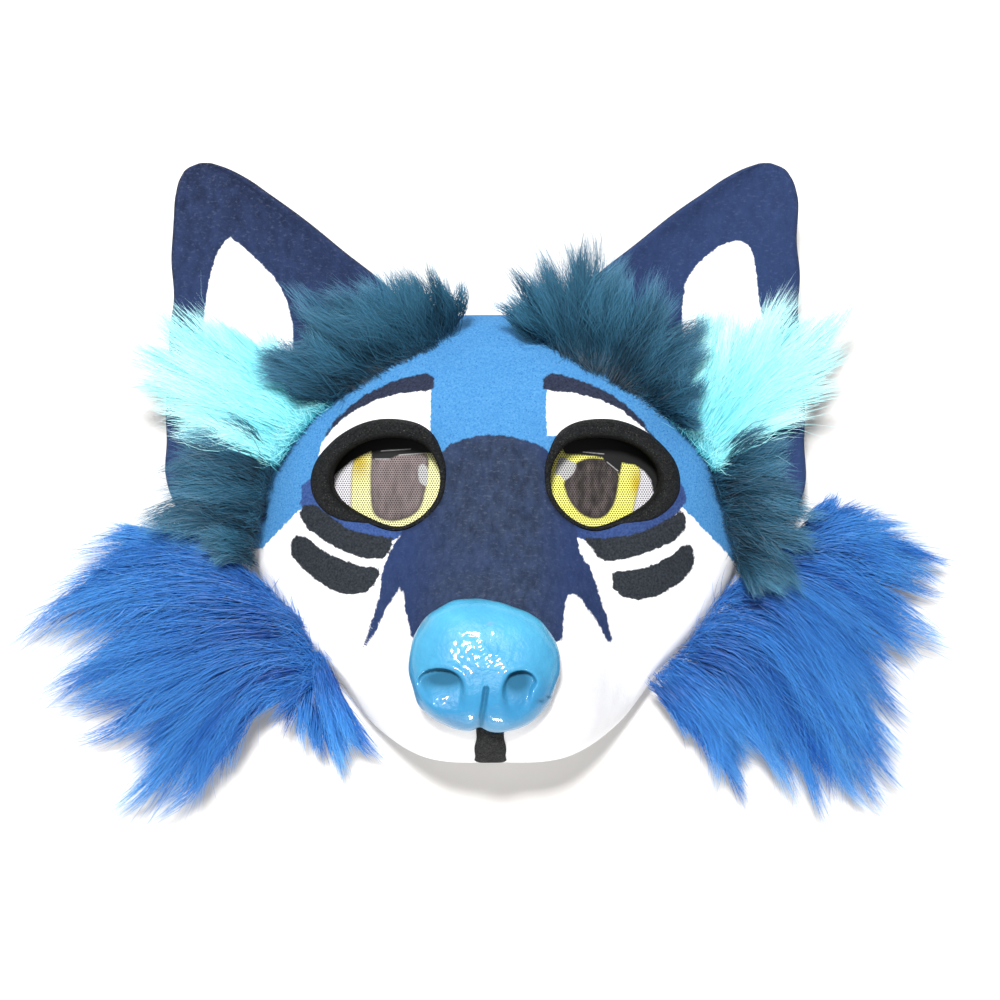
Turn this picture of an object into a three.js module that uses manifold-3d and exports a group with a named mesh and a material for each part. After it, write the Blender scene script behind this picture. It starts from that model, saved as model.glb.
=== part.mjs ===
// A wearable canine costume mask, lying on its rim with its nose up. Millimetres, +Z out of the face, +Y to the ears.
// The origin is the middle of the rim plane, where the wearer's face goes in from below.
import * as THREE from "three";
import { mergeVertices } from "three/addons/utils/BufferGeometryUtils.js";
import Module from "manifold-3d";

const wasm = await Module();
wasm.setup();

// Driving dimensions: the face shell
const FACE_WIDTH = 178;
const FACE_HEIGHT = 160;
const BROW_DEPTH = 44; // rim plane to the brow
const MUZZLE_DEPTH = 71; // rim plane to the flat of the muzzle, under the nose
const MUZZLE_WIDTH = 100;
const SHELL_WALL = 2.6;
const EDGE_SQUARENESS = 3.2; // superellipse power of the rounded edge
const SEAT_GAP = 0.3; // clearance between two pieces that are glued together
const SLIVER = 0.04; // finest detail kept along a cut

// Driving dimensions: the eyes
const EYE_WIDTH = 38;
const EYE_HEIGHT = 31;
const EYE_SPACING = 76; // centre to centre
const EYE_UP = 18.6; // centre above the origin
const EYE_RECESS = 9; // sight mesh below the face at the eye's centre
const LID_WIDTH = 6.4; // upper eyelid outside its sleeve, at its widest
const LID_RISE = 5.5; // upper eyelid above the face
const SLEEVE_WALL = 1.2; // foam sleeve through the face to the sight mesh
const MESH_THICK = 1.2;

// Driving dimensions: nose and lip strip
const NOSE_WIDTH = 48;
const NOSE_HEIGHT = 42;
const NOSE_RISE = 14; // above the flat of the muzzle
const NOSE_UP = -0.2625 * FACE_HEIGHT; // centre from the origin
const NOSE_SHIFT = -2; // the cast nose is glued a little off the middle
const NOSTRIL_WIDTH = 13;
const NOSTRIL_DEPTH = 6;
const PHILTRUM_DEPTH = 2.2;
const LIP_STRIP_WIDTH = 10;
const LIP_STRIP_THICK = 1.2;
const LIP_STRIP_END = 0.7 * MUZZLE_DEPTH; // lowest point above the rim plane

// Driving dimensions: the ears
const EAR_HEIGHT = 126;
const EAR_WIDTH = 98;
const EAR_THICK = 5;
const EAR_BASE_UP = 5; // lowest point from the origin
const EAR_REACH = 114; // outer edge from the ears' middle line
const EAR_SHIFT = -3.5; // the pair of ears is glued a little off the middle
const EAR_LIFT = 9; // back face above the rim plane, at the base
const EAR_LEAN = 13; // further rise at the tip
const EAR_CUP = 5; // rise of both long edges above the middle

// Driving dimensions: the fur
const FUR_BACKING = 3; // knit backing and underfur
const CHEEK_PILE = 100;
const SIDE_PILE = 46;
const INNER_EAR_PILE = 72;
const BROW_PILE = 46;
const CHEEK_LOCK = 22; // widths of one lock
const SIDE_LOCK = 17;
const INNER_EAR_LOCK = 17;
const BROW_LOCK = 16;
const FUR_CLEAR = 2.5; // lowest fur above the rim plane

// Mesh fineness
const TURNS = 48;
const SHELL_RINGS = 12;
const EYE_STEPS = 26;
const LOCK_STEPS = 4;
const LOCK_SIDES = 5;
const EAR_COLUMNS = 5;
const NOSE_TURNS = 22;
const NOSE_RINGS = 10;

const HALF_WIDTH = FACE_WIDTH / 2;
const HALF_HEIGHT = FACE_HEIGHT / 2;
const POLE = { x: 0, y: -0.475 * HALF_HEIGHT }; // the shell's rings close on the muzzle, under the nose
const QUARTER = Math.PI / 2;
const STEP = 1e-3; // finite difference in an angle

// Tables, as shares of the sizes above

// The rim's right half, from the top to the chin, as shares of half the face's width and height
const RIM_ROWS = [
  { across: 0, up: 1 },
  { across: 0.4, up: 0.955 },
  { across: 0.72, up: 0.73 },
  { across: 0.93, up: 0.38 },
  { across: 1, up: 0.02 },
  { across: 0.965, up: -0.2 },
  { across: 0.84, up: -0.42 },
  { across: 0.66, up: -0.64 },
  { across: 0.5, up: -0.86 },
  { across: 0.3, up: -0.985 },
  { across: 0, up: -1 },
];

// Stations up the face: dome is a share of BROW_DEPTH, ridge of MUZZLE_DEPTH, reach of half the muzzle's width
const FACE_STATIONS = [
  { up: -1, dome: 0.76, ridge: 0.98, reach: 1 },
  { up: -0.65, dome: 0.82, ridge: 1, reach: 1 },
  { up: -0.4, dome: 0.88, ridge: 0.985, reach: 0.94 },
  { up: -0.2, dome: 0.93, ridge: 0.89, reach: 0.84 },
  { up: 0, dome: 0.97, ridge: 0.75, reach: 0.74 },
  { up: 0.2, dome: 1, ridge: 0.635, reach: 0.66 },
  { up: 0.42, dome: 1, ridge: 0.575, reach: 0.6 },
  { up: 0.7, dome: 0.94, ridge: 0.537, reach: 0.56 },
  { up: 1, dome: 0.8, ridge: 0.457, reach: 0.55 },
];
const DOME_SIDE_FALL = 0.42; // how far the dome falls at the sides
const RIDGE_SHARPNESS = 2.7;

// Swellings and hollows of the face, on both sides: radius is a share of half the face's width, rise of BROW_DEPTH
const RELIEF_ROWS = [
  { across: 0.42, up: 0.23, radius: 0.24, rise: -0.1 }, // eye socket
  { across: 0.4, up: 0.55, radius: 0.22, rise: 0.08 }, // brow
  { across: 0.6, up: -0.16, radius: 0.26, rise: 0.08 }, // cheek
  { across: 0.3, up: -0.74, radius: 0.17, rise: 0.08 }, // whisker pad
];

// The right eye's edge from its inner corner, over the top: shares of half the eye's width and height
const EYE_ROWS = [
  { across: -1, up: 0.06 },
  { across: -0.93, up: 0.46 },
  { across: -0.66, up: 0.86 },
  { across: -0.14, up: 1 },
  { across: 0.36, up: 0.92 },
  { across: 0.76, up: 0.66 },
  { across: 0.99, up: 0.28 },
  { across: 1, up: -0.1 },
  { across: 0.84, up: -0.42 },
  { across: 0.36, up: -0.79 },
  { across: -0.2, up: -1 },
  { across: -0.62, up: -0.8 },
  { across: -0.93, up: -0.36 },
];

// Eyelid all round, against the share of the way round from the inner corner: shares of LID_WIDTH and LID_RISE
const LID_ROWS = [
  { round: 0, width: 0.12, rise: 0.3 },
  { round: 0.07, width: 0.3, rise: 0.55 },
  { round: 0.15, width: 0.7, rise: 0.9 },
  { round: 0.25, width: 0.82, rise: 1 },
  { round: 0.42, width: 0.8, rise: 1 },
  { round: 0.52, width: 1, rise: 0.8 },
  { round: 0.59, width: 0.7, rise: 0.5 },
  { round: 0.68, width: 0.1, rise: 0.2 },
  { round: 0.88, width: 0.06, rise: 0.16 },
  { round: 1, width: 0.12, rise: 0.3 },
];

// The right ear from its base up: outer and inner edges as shares of EAR_WIDTH in from the outermost line
const EAR_ROWS = [
  { up: 0, outer: 0.05, inner: 0.36 },
  { up: 0.07, outer: 0.01, inner: 0.5 },
  { up: 0.24, outer: 0, inner: 0.72 },
  { up: 0.46, outer: 0.02, inner: 0.8 },
  { up: 0.58, outer: 0.03, inner: 0.885 },
  { up: 0.67, outer: 0.034, inner: 0.79 },
  { up: 0.76, outer: 0.038, inner: 0.65 },
  { up: 0.85, outer: 0.042, inner: 0.5 },
  { up: 0.91, outer: 0.048, inner: 0.395 },
  { up: 0.96, outer: 0.066, inner: 0.3 },
  { up: 0.985, outer: 0.09, inner: 0.235 },
  { up: 1, outer: 0.125, inner: 0.185 },
];

// Locks of fur: the root as shares of half the face's width and height, the heading at the root and at the tip in
// degrees from +X towards +Y, and the length as a share of the pile. A minus sign is the left side of the picture.
const CHEEK_RIGHT_LOCKS = [
  { across: 0.99, up: -0.13, from: 22, to: -2, reach: 0.64 },
  { across: 1.0, up: -0.2, from: 14, to: -22, reach: 0.74 },
  { across: 0.97, up: -0.27, from: 6, to: -36, reach: 0.74 },
  { across: 0.92, up: -0.32, from: 4, to: -44, reach: 0.82 },
  { across: 0.86, up: -0.38, from: 5, to: -46, reach: 0.86 },
  { across: 0.8, up: -0.46, from: 4, to: -50, reach: 0.92 },
  { across: 0.74, up: -0.53, from: 2, to: -54, reach: 0.95 },
  { across: 0.68, up: -0.6, from: -5, to: -60, reach: 0.88 },
  { across: 0.63, up: -0.66, from: -22, to: -54, reach: 0.6 },
  { across: 0.58, up: -0.72, from: -30, to: -70, reach: 0.5 },
];
const CHEEK_LEFT_LOCKS = [
  { across: -0.97, up: -0.17, from: 150, to: 172, reach: 0.68 },
  { across: -0.96, up: -0.27, from: 150, to: 190, reach: 0.82 },
  { across: -0.94, up: -0.32, from: 156, to: 198, reach: 0.86 },
  { across: -0.89, up: -0.38, from: 160, to: 206, reach: 0.9 },
  { across: -0.83, up: -0.45, from: 172, to: 204, reach: 0.84 },
  { across: -0.78, up: -0.5, from: 184, to: 206, reach: 0.84 },
  { across: -0.73, up: -0.56, from: 194, to: 220, reach: 0.72 },
  { across: -0.69, up: -0.6, from: 216, to: 240, reach: 0.7 },
  { across: -0.64, up: -0.67, from: 240, to: 262, reach: 0.46 },
  { across: -0.57, up: -0.75, from: 300, to: 286, reach: 0.32 },
];
const SIDE_RIGHT_LOCKS = [
  { across: 0.93, up: 0.35, from: 26, to: 2, reach: 0.6 },
  { across: 0.97, up: 0.22, from: 14, to: 8, reach: 0.78 },
  { across: 0.995, up: 0.1, from: 2, to: -14, reach: 0.8 },
  { across: 1.0, up: 0.0, from: -14, to: -48, reach: 0.82 },
  { across: 0.99, up: -0.1, from: -46, to: -72, reach: 0.5 },
];
const SIDE_LEFT_LOCKS = [
  { across: -0.93, up: 0.35, from: 146, to: 172, reach: 0.68 },
  { across: -0.965, up: 0.24, from: 166, to: 182, reach: 0.96 },
  { across: -0.99, up: 0.12, from: 172, to: 186, reach: 0.98 },
  { across: -1.0, up: 0.01, from: 166, to: 188, reach: 0.94 },
  { across: -0.99, up: -0.1, from: 156, to: 178, reach: 0.56 },
];
const INNER_EAR_RIGHT_LOCKS = [
  { across: 0.68, up: 0.6, from: 78, to: 66, reach: 0.66 },
  { across: 0.75, up: 0.56, from: 70, to: 44, reach: 0.8 },
  { across: 0.8, up: 0.5, from: 62, to: 34, reach: 0.88 },
  { across: 0.85, up: 0.43, from: 54, to: 24, reach: 0.76 },
  { across: 0.89, up: 0.37, from: 44, to: 12, reach: 0.6 },
];
const INNER_EAR_LEFT_LOCKS = [
  { across: -0.68, up: 0.6, from: 134, to: 160, reach: 0.86 },
  { across: -0.74, up: 0.55, from: 140, to: 166, reach: 0.9 },
  { across: -0.79, up: 0.5, from: 142, to: 164, reach: 0.8 },
  { across: -0.85, up: 0.42, from: 138, to: 152, reach: 0.7 },
  { across: -0.89, up: 0.36, from: 134, to: 146, reach: 0.6 },
];
const BROW_RIGHT_LOCKS = [
  { across: 0.1, up: 0.97, from: 158, to: 172, reach: 0.3 },
  { across: 0.2, up: 0.93, from: 118, to: 136, reach: 0.74 },
  { across: 0.3, up: 0.88, from: 100, to: 104, reach: 0.92 },
  { across: 0.4, up: 0.82, from: 84, to: 94, reach: 0.98 },
  { across: 0.48, up: 0.78, from: 66, to: 90, reach: 0.86 },
  { across: 0.55, up: 0.72, from: 56, to: 50, reach: 0.78 },
  { across: 0.62, up: 0.66, from: 52, to: 58, reach: 0.64 },
];
const BROW_LEFT_LOCKS = [
  { across: -0.15, up: 0.95, from: 66, to: 100, reach: 0.36 },
  { across: -0.24, up: 0.91, from: 88, to: 96, reach: 0.62 },
  { across: -0.33, up: 0.87, from: 112, to: 118, reach: 0.74 },
  { across: -0.41, up: 0.82, from: 128, to: 146, reach: 0.84 },
  { across: -0.49, up: 0.77, from: 138, to: 160, reach: 0.9 },
  { across: -0.56, up: 0.71, from: 144, to: 166, reach: 0.88 },
  { across: -0.62, up: 0.65, from: 146, to: 168, reach: 0.8 },
];

// Linear reading of a table's column at a place between two rows, with the ends held.
function readTable(rows, key, column, at) {
  const next = rows.findIndex((row) => row[key] >= at);
  if (next === 0) return rows[0][column];
  if (next < 0) return rows[rows.length - 1][column];
  const [low, high] = [rows[next - 1], rows[next]];
  const share = (at - low[key]) / (high[key] - low[key]);
  const eased = share * share * (3 - 2 * share);
  const slopeBlend = 0.5 * (share + eased);
  return low[column] + (high[column] - low[column]) * slopeBlend;
}

// Closed smooth curve through rows of shares, as points on the XY plane.
function closedCurve(points, count) {
  const curve = new THREE.CatmullRomCurve3(points, true, "centripetal");
  return curve.getSpacedPoints(count).slice(0, count);
}

function mirroredRim() {
  const right = RIM_ROWS.map((row) => new THREE.Vector3(row.across * HALF_WIDTH, row.up * HALF_HEIGHT, 0));
  const left = RIM_ROWS.slice(1, -1)
    .reverse()
    .map((row) => new THREE.Vector3(-row.across * HALF_WIDTH, row.up * HALF_HEIGHT, 0));
  return [...right, ...left];
}

// The rim's distance from the pole, read by direction
const RIM_READINGS = closedCurve(mirroredRim(), 480)
  .map((p) => ({
    turn: Math.atan2(p.y - POLE.y, p.x - POLE.x),
    reach: Math.hypot(p.x - POLE.x, p.y - POLE.y),
  }))
  .sort((a, b) => a.turn - b.turn);

function rimReach(turn) {
  const wrapped = Math.atan2(Math.sin(turn), Math.cos(turn));
  const count = RIM_READINGS.length;
  let next = RIM_READINGS.findIndex((reading) => reading.turn >= wrapped);
  if (next < 0) next = 0;
  const high = RIM_READINGS[next];
  const low = RIM_READINGS[(next + count - 1) % count];
  const full = 2 * Math.PI;
  const span = (high.turn - low.turn + full) % full || 1;
  const share = ((wrapped - low.turn + full) % full) / span;
  return low.reach + (high.reach - low.reach) * share;
}

// Height of the face before its edge is rounded down to the rim
function crown(x, y) {
  const up = y / HALF_HEIGHT;
  const side = x / HALF_WIDTH;
  const dome = BROW_DEPTH * readTable(FACE_STATIONS, "up", "dome", up);
  const ridge = MUZZLE_DEPTH * readTable(FACE_STATIONS, "up", "ridge", up);
  const reach = (MUZZLE_WIDTH / 2) * readTable(FACE_STATIONS, "up", "reach", up);
  const away = Math.min(1, Math.abs(x) / reach);
  const bridge = Math.max(0, ridge - dome) * (1 - away ** RIDGE_SHARPNESS) ** 2;
  let relief = 0;
  for (const row of RELIEF_ROWS) {
    const dx = (Math.abs(x) - row.across * HALF_WIDTH) / (row.radius * HALF_WIDTH);
    const dy = (y - row.up * HALF_HEIGHT) / (row.radius * HALF_WIDTH);
    relief += row.rise * BROW_DEPTH * Math.exp(-(dx * dx + dy * dy));
  }
  return dome * (1 - DOME_SIDE_FALL * side * side) + bridge + relief;
}

// A point of the face. lift runs from 0 at the rim to a quarter turn at the pole.
function facePoint(turn, lift) {
  const inward = Math.cos(lift) ** (2 / EDGE_SQUARENESS);
  const rise = Math.sin(lift) ** (2 / EDGE_SQUARENESS);
  const reach = rimReach(turn) * inward;
  const x = POLE.x + reach * Math.cos(turn);
  const y = POLE.y + reach * Math.sin(turn);
  return new THREE.Vector3(x, y, rise * crown(x, y));
}

// The same point moved out along the face's normal. The rim stays in its plane.
function offsetPoint(turn, lift, outset) {
  const point = facePoint(turn, lift);
  const low = Math.max(0, lift - STEP);
  const high = Math.min(QUARTER, lift + STEP);
  const along = facePoint(turn + STEP, lift).sub(facePoint(turn - STEP, lift));
  if (lift >= QUARTER - STEP) {
    const slopeX = (crown(POLE.x + 1, POLE.y) - crown(POLE.x - 1, POLE.y)) / 2;
    const slopeY = (crown(POLE.x, POLE.y + 1) - crown(POLE.x, POLE.y - 1)) / 2;
    return point.addScaledVector(new THREE.Vector3(-slopeX, -slopeY, 1).normalize(), outset);
  }
  const rising = facePoint(turn, high).sub(facePoint(turn, low));
  const normal = along.cross(rising).normalize();
  point.addScaledVector(normal, outset);
  if (lift <= STEP) point.z = 0;
  return point;
}

// Height of the face's outer surface over a place in plan
function faceHeight(x, y) {
  const turn = Math.atan2(y - POLE.y, x - POLE.x);
  const inward = Math.min(1, Math.hypot(x - POLE.x, y - POLE.y) / rimReach(turn));
  return crown(x, y) * (1 - inward ** EDGE_SQUARENESS) ** (1 / EDGE_SQUARENESS);
}

function faceRing(lift, outset) {
  return Array.from({ length: TURNS }, (_, i) => offsetPoint((2 * Math.PI * i) / TURNS, lift, outset));
}

// Rings from the rim up to just before the pole
function faceRings(outset) {
  return Array.from({ length: SHELL_RINGS }, (_, i) => faceRing((QUARTER * i) / SHELL_RINGS, outset));
}

// A closed solid from rings of equal length. Ends close on the given points, or on each other when ring shaped.
function loft(rings, startTip, endTip, ringShaped = false) {
  const count = rings[0].length;
  const points = rings.flat();
  const triangles = [];
  const spans = ringShaped ? rings.length : rings.length - 1;
  for (let r = 0; r < spans; r++) {
    for (let i = 0; i < count; i++) {
      const a = r * count + i;
      const b = r * count + ((i + 1) % count);
      const c = ((r + 1) % rings.length) * count + ((i + 1) % count);
      const d = ((r + 1) % rings.length) * count + i;
      const falling = points[a].distanceTo(points[c]) <= points[b].distanceTo(points[d]);
      if (falling) triangles.push(a, b, c, a, c, d);
      else triangles.push(a, b, d, b, c, d);
    }
  }
  if (!ringShaped) {
    const start = points.push(startTip) - 1;
    const end = points.push(endTip) - 1;
    const last = (rings.length - 1) * count;
    for (let i = 0; i < count; i++) {
      triangles.push(start, (i + 1) % count, i);
      triangles.push(end, last + i, last + ((i + 1) % count));
    }
  }
  return solidFrom(points, triangles);
}

// A manifold solid from points and triangles, turned the right way out
function solidFrom(points, triangles) {
  const geometry = new THREE.BufferGeometry();
  geometry.setAttribute("position", new THREE.Float32BufferAttribute(points.flatMap((p) => [p.x, p.y, p.z]), 3));
  geometry.setIndex(triangles);
  return solidOf(geometry);
}

function solidOf(geometry) {
  const bare = geometry.clone();
  bare.deleteAttribute("normal");
  bare.deleteAttribute("uv");
  const merged = mergeVertices(bare, 1e-4);
  const vertProperties = new Float32Array(merged.attributes.position.array);
  const triVerts = new Uint32Array(merged.index.array);
  const made = new wasm.Manifold(new wasm.Mesh({ numProp: 3, vertProperties, triVerts }));
  if (made.volume() > 0) return made;
  for (let i = 0; i < triVerts.length; i += 3) {
    [triVerts[i + 1], triVerts[i + 2]] = [triVerts[i + 2], triVerts[i + 1]];
  }
  return new wasm.Manifold(new wasm.Mesh({ numProp: 3, vertProperties, triVerts }));
}

// The main body of a cut piece, without crumbs and without slivers along its cuts
function largest(solid) {
  const main = (whole) => whole.decompose().reduce((best, body) => (body.volume() > best.volume() ? body : best));
  return main(main(solid).simplify(SLIVER));
}

function meanPoint(points) {
  return points.reduce((sum, p) => sum.add(p), new THREE.Vector3()).divideScalar(points.length);
}

// A straight prism over an outline in plan
function prism(outline, low, high) {
  const shape = new THREE.Shape(outline.map((p) => new THREE.Vector2(p.x, p.y)));
  const geometry = new THREE.ExtrudeGeometry(shape, { depth: high - low, bevelEnabled: false, steps: 1 });
  geometry.translate(0, 0, low);
  return solidOf(geometry);
}

// The face as a filled block grown by an outset, which cuts the seat of whatever is glued onto it
function filledFace(outset) {
  const rings = faceRings(outset);
  const below = rings[0].map((p) => new THREE.Vector3(p.x, p.y, -SHELL_WALL));
  return loft([below, ...rings], meanPoint(below), offsetPoint(0, QUARTER, outset));
}

// The face as a hollow shell. grow thickens it on both faces, and eyeMargin is the openings' margin round the eyes.
function hollowFace(grow, eyeMargin) {
  const outer = faceRings(grow);
  const inner = faceRings(-SHELL_WALL - grow).reverse();
  const shell = loft(
    [...inner, ...outer],
    offsetPoint(0, QUARTER, -SHELL_WALL - grow),
    offsetPoint(0, QUARTER, grow),
  );
  const openings = [1, -1].map((side) => prism(eyeOutline(side, eyeMargin), 0, MUZZLE_DEPTH));
  return openings.reduce((solid, opening) => solid.subtract(opening), shell);
}

// The eye's edge in plan, moved outwards by a margin, from the inner corner over the top
function eyeOutline(side, margin) {
  const points = EYE_ROWS.map(
    (row) => new THREE.Vector3((row.across * EYE_WIDTH) / 2, (row.up * EYE_HEIGHT) / 2, 0),
  );
  const even = closedCurve(points, EYE_STEPS);
  return even.map((p, i) => {
    const before = even[(i + EYE_STEPS - 1) % EYE_STEPS];
    const after = even[(i + 1) % EYE_STEPS];
    const tangent = after.clone().sub(before).normalize();
    const x = p.x - tangent.y * margin;
    const y = p.y + tangent.x * margin;
    return new THREE.Vector3(side * (EYE_SPACING / 2 + x), EYE_UP + y, 0);
  });
}

// The plane of the sight mesh, which slopes with the face
function meshPlane(side) {
  const centreX = (side * EYE_SPACING) / 2;
  const [halfX, halfY] = [EYE_WIDTH / 2, EYE_HEIGHT / 2];
  const slopeX = (faceHeight(centreX + halfX, EYE_UP) - faceHeight(centreX - halfX, EYE_UP)) / EYE_WIDTH;
  const slopeY = (faceHeight(centreX, EYE_UP + halfY) - faceHeight(centreX, EYE_UP - halfY)) / EYE_HEIGHT;
  const middle = faceHeight(centreX, EYE_UP) - EYE_RECESS;
  return (x, y) => middle + slopeX * (x - centreX) + slopeY * (y - EYE_UP);
}

function eyeRim(side) {
  const plane = meshPlane(side);
  const edge = eyeOutline(side, 0);
  const marginRing = (margin) => eyeOutline(side, margin);
  const sleeve = marginRing(SLEEVE_WALL);
  const sections = edge.map((inner, i) => {
    const round = i / EYE_STEPS;
    const width = LID_WIDTH * readTable(LID_ROWS, "round", "width", round) + SLEEVE_WALL;
    const rise = LID_RISE * readTable(LID_ROWS, "round", "rise", round);
    const outward = sleeve[i].clone().sub(inner).divideScalar(SLEEVE_WALL);
    const at = (away, height) => {
      const p = inner.clone().addScaledVector(outward, away);
      p.z = height(p.x, p.y);
      return p;
    };
    const face = (extra) => (x, y) => faceHeight(x, y) + extra;
    const underside = (x, y) => plane(x, y) + SEAT_GAP;
    return [
      at(0, underside),
      at(0, face(0.4 * rise)),
      at(0.22 * width, face(0.85 * rise)),
      at(0.5 * width, face(rise)),
      at(0.82 * width, face(0.72 * rise)),
      at(width, face(-0.5 * SHELL_WALL)),
      at(SLEEVE_WALL, face(-0.5 * SHELL_WALL)),
      at(SLEEVE_WALL, underside),
    ];
  });
  const raw = loft(sections, null, null, true);
  return largest(raw.subtract(hollowFace(SEAT_GAP, SLEEVE_WALL + 0.2 * SEAT_GAP)));
}

function eyeMesh(side) {
  const plane = meshPlane(side);
  const outline = eyeOutline(side, SLEEVE_WALL);
  const atDepth = (drop) => outline.map((p) => new THREE.Vector3(p.x, p.y, plane(p.x, p.y) - drop));
  const [back, front] = [atDepth(MESH_THICK), atDepth(0)];
  return loft([back, front], meanPoint(back), meanPoint(front));
}

// The nose: a squashed ball with a flat back, two nostrils and a groove, seated on the muzzle
function nose() {
  const centre = new THREE.Vector3(NOSE_SHIFT, NOSE_UP, faceHeight(NOSE_SHIFT, NOSE_UP));
  const [halfX, halfY] = [NOSE_WIDTH / 2, NOSE_HEIGHT / 2];
  const depthBelow = NOSE_RISE;
  const rings = [];
  for (let r = 1; r < NOSE_RINGS; r++) {
    const tilt = -QUARTER + (Math.PI * r) / NOSE_RINGS;
    rings.push(
      Array.from({ length: NOSE_TURNS }, (_, i) => {
        const turn = (2 * Math.PI * i) / NOSE_TURNS;
        const flatness = Math.cos(tilt) ** 0.7;
        const narrowing = 1 - 0.14 * Math.abs(Math.sin(turn)) ** 2 * Math.sin(turn);
        const x = halfX * flatness * Math.cos(turn) * narrowing;
        const y = halfY * flatness * Math.sin(turn);
        const height = (tilt < 0 ? depthBelow : NOSE_RISE) * Math.sin(tilt);
        const groove = Math.max(0, -Math.sin(turn)) ** 24 * flatness * PHILTRUM_DEPTH;
        return new THREE.Vector3(centre.x + x, centre.y + y + groove, centre.z + height - 0.5 * groove);
      }),
    );
  }
  const bottom = new THREE.Vector3(centre.x, centre.y, centre.z - depthBelow);
  const top = new THREE.Vector3(centre.x, centre.y, centre.z + NOSE_RISE);
  let solid = loft(rings, bottom, top);
  for (const side of [1, -1]) solid = solid.subtract(nostril(side, centre));
  return largest(solid.subtract(FACE_CUTTER));
}

function nostril(side, centre) {
  const geometry = new THREE.SphereGeometry(1, 12, 8);
  geometry.scale(NOSTRIL_WIDTH / 2, NOSTRIL_WIDTH / 3.4, NOSTRIL_DEPTH);
  geometry.rotateZ(side * THREE.MathUtils.degToRad(18));
  const x = centre.x + side * NOSE_WIDTH * 0.25;
  const y = centre.y - NOSE_HEIGHT * 0.14;
  geometry.translate(x, y, centre.z + NOSE_RISE * 0.86);
  return solidOf(geometry);
}

// The dark strip from under the nose down over the muzzle's edge: a slice of the face grown by its thickness
function lipStrip() {
  const halfWidth = LIP_STRIP_WIDTH / 2;
  const outline = [
    new THREE.Vector2(NOSE_SHIFT / 2 - halfWidth, NOSE_UP),
    new THREE.Vector2(NOSE_SHIFT / 2 + halfWidth, NOSE_UP),
    new THREE.Vector2(NOSE_SHIFT / 2 + halfWidth * 1.3, -FACE_HEIGHT),
    new THREE.Vector2(NOSE_SHIFT / 2 - halfWidth * 1.3, -FACE_HEIGHT),
  ];
  const slice = prism(outline, LIP_STRIP_END, MUZZLE_DEPTH * 2);
  const grown = filledFace(SEAT_GAP + LIP_STRIP_THICK).subtract(FACE_CUTTER);
  return largest(grown.intersect(slice).subtract(NOSE_CUTTER));
}

// A flat foam ear with a cupped front
function ear(side, grow) {
  const thickness = EAR_THICK + 2 * grow;
  const rings = EAR_ROWS.map((row) => {
    const stretch = (row.up - 0.5) * grow * 2;
    const y = EAR_BASE_UP + row.up * EAR_HEIGHT + stretch;
    const outerX = EAR_REACH - row.outer * EAR_WIDTH + grow;
    const innerX = EAR_REACH - row.inner * EAR_WIDTH - grow;
    const middle = EAR_LIFT + EAR_LEAN * row.up - grow;
    const front = [];
    const back = [];
    for (let c = 0; c <= EAR_COLUMNS; c++) {
      const share = c / EAR_COLUMNS;
      const x = EAR_SHIFT + side * (outerX + (innerX - outerX) * share);
      const z = middle + EAR_CUP * (2 * share - 1) ** 2;
      front.push(new THREE.Vector3(x, y, z + thickness));
      back.unshift(new THREE.Vector3(x, y, z));
    }
    return [...front, ...back];
  });
  return loft(rings, meanPoint(rings[0]), meanPoint(rings[rings.length - 1]));
}

// One tapering lock of fur that follows its row's headings and droops to its tip
function lock(row, fur, grow) {
  const pile = fur.pile * row.reach;
  const root = new THREE.Vector3(row.across * HALF_WIDTH, row.up * HALF_HEIGHT, 0);
  const rootHeight = Math.max(faceHeight(root.x, root.y), fur.rootLeast);
  const path = [];
  const place = root.clone();
  for (let s = 0; s <= LOCK_STEPS; s++) {
    const share = s / LOCK_STEPS;
    const heading = THREE.MathUtils.degToRad(row.from + (row.to - row.from) * share);
    const height = rootHeight + (fur.tipHeight - rootHeight) * share + 4 * fur.arch * share * (1 - share);
    path.push({ centre: new THREE.Vector3(place.x, place.y, height), heading });
    place.x += (pile / LOCK_STEPS) * Math.cos(heading);
    place.y += (pile / LOCK_STEPS) * Math.sin(heading);
  }
  const tip = path.pop();
  const rings = path.map(({ centre, heading }, s) => {
    const share = s / LOCK_STEPS;
    const swell = (1 - share ** 2) * (0.75 + 0.5 * Math.sin(Math.PI * share));
    const halfWidth = (fur.lockWidth / 2) * swell + grow;
    const halfThick = (fur.lockWidth / 2) * fur.flatness * swell + grow;
    return Array.from({ length: LOCK_SIDES }, (_, i) => {
      const turn = (2 * Math.PI * (i + 0.5)) / LOCK_SIDES;
      const acrossLock = halfWidth * Math.cos(turn);
      const z = Math.max(centre.z + halfThick * Math.sin(turn), FUR_CLEAR);
      return new THREE.Vector3(
        centre.x - acrossLock * Math.sin(heading),
        centre.y + acrossLock * Math.cos(heading),
        z,
      );
    });
  });
  tip.centre.x += grow * Math.cos(tip.heading);
  tip.centre.y += grow * Math.sin(tip.heading);
  tip.centre.z = Math.max(tip.centre.z, FUR_CLEAR);
  return loft(rings, meanPoint(rings[0]), tip.centre);
}

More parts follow.
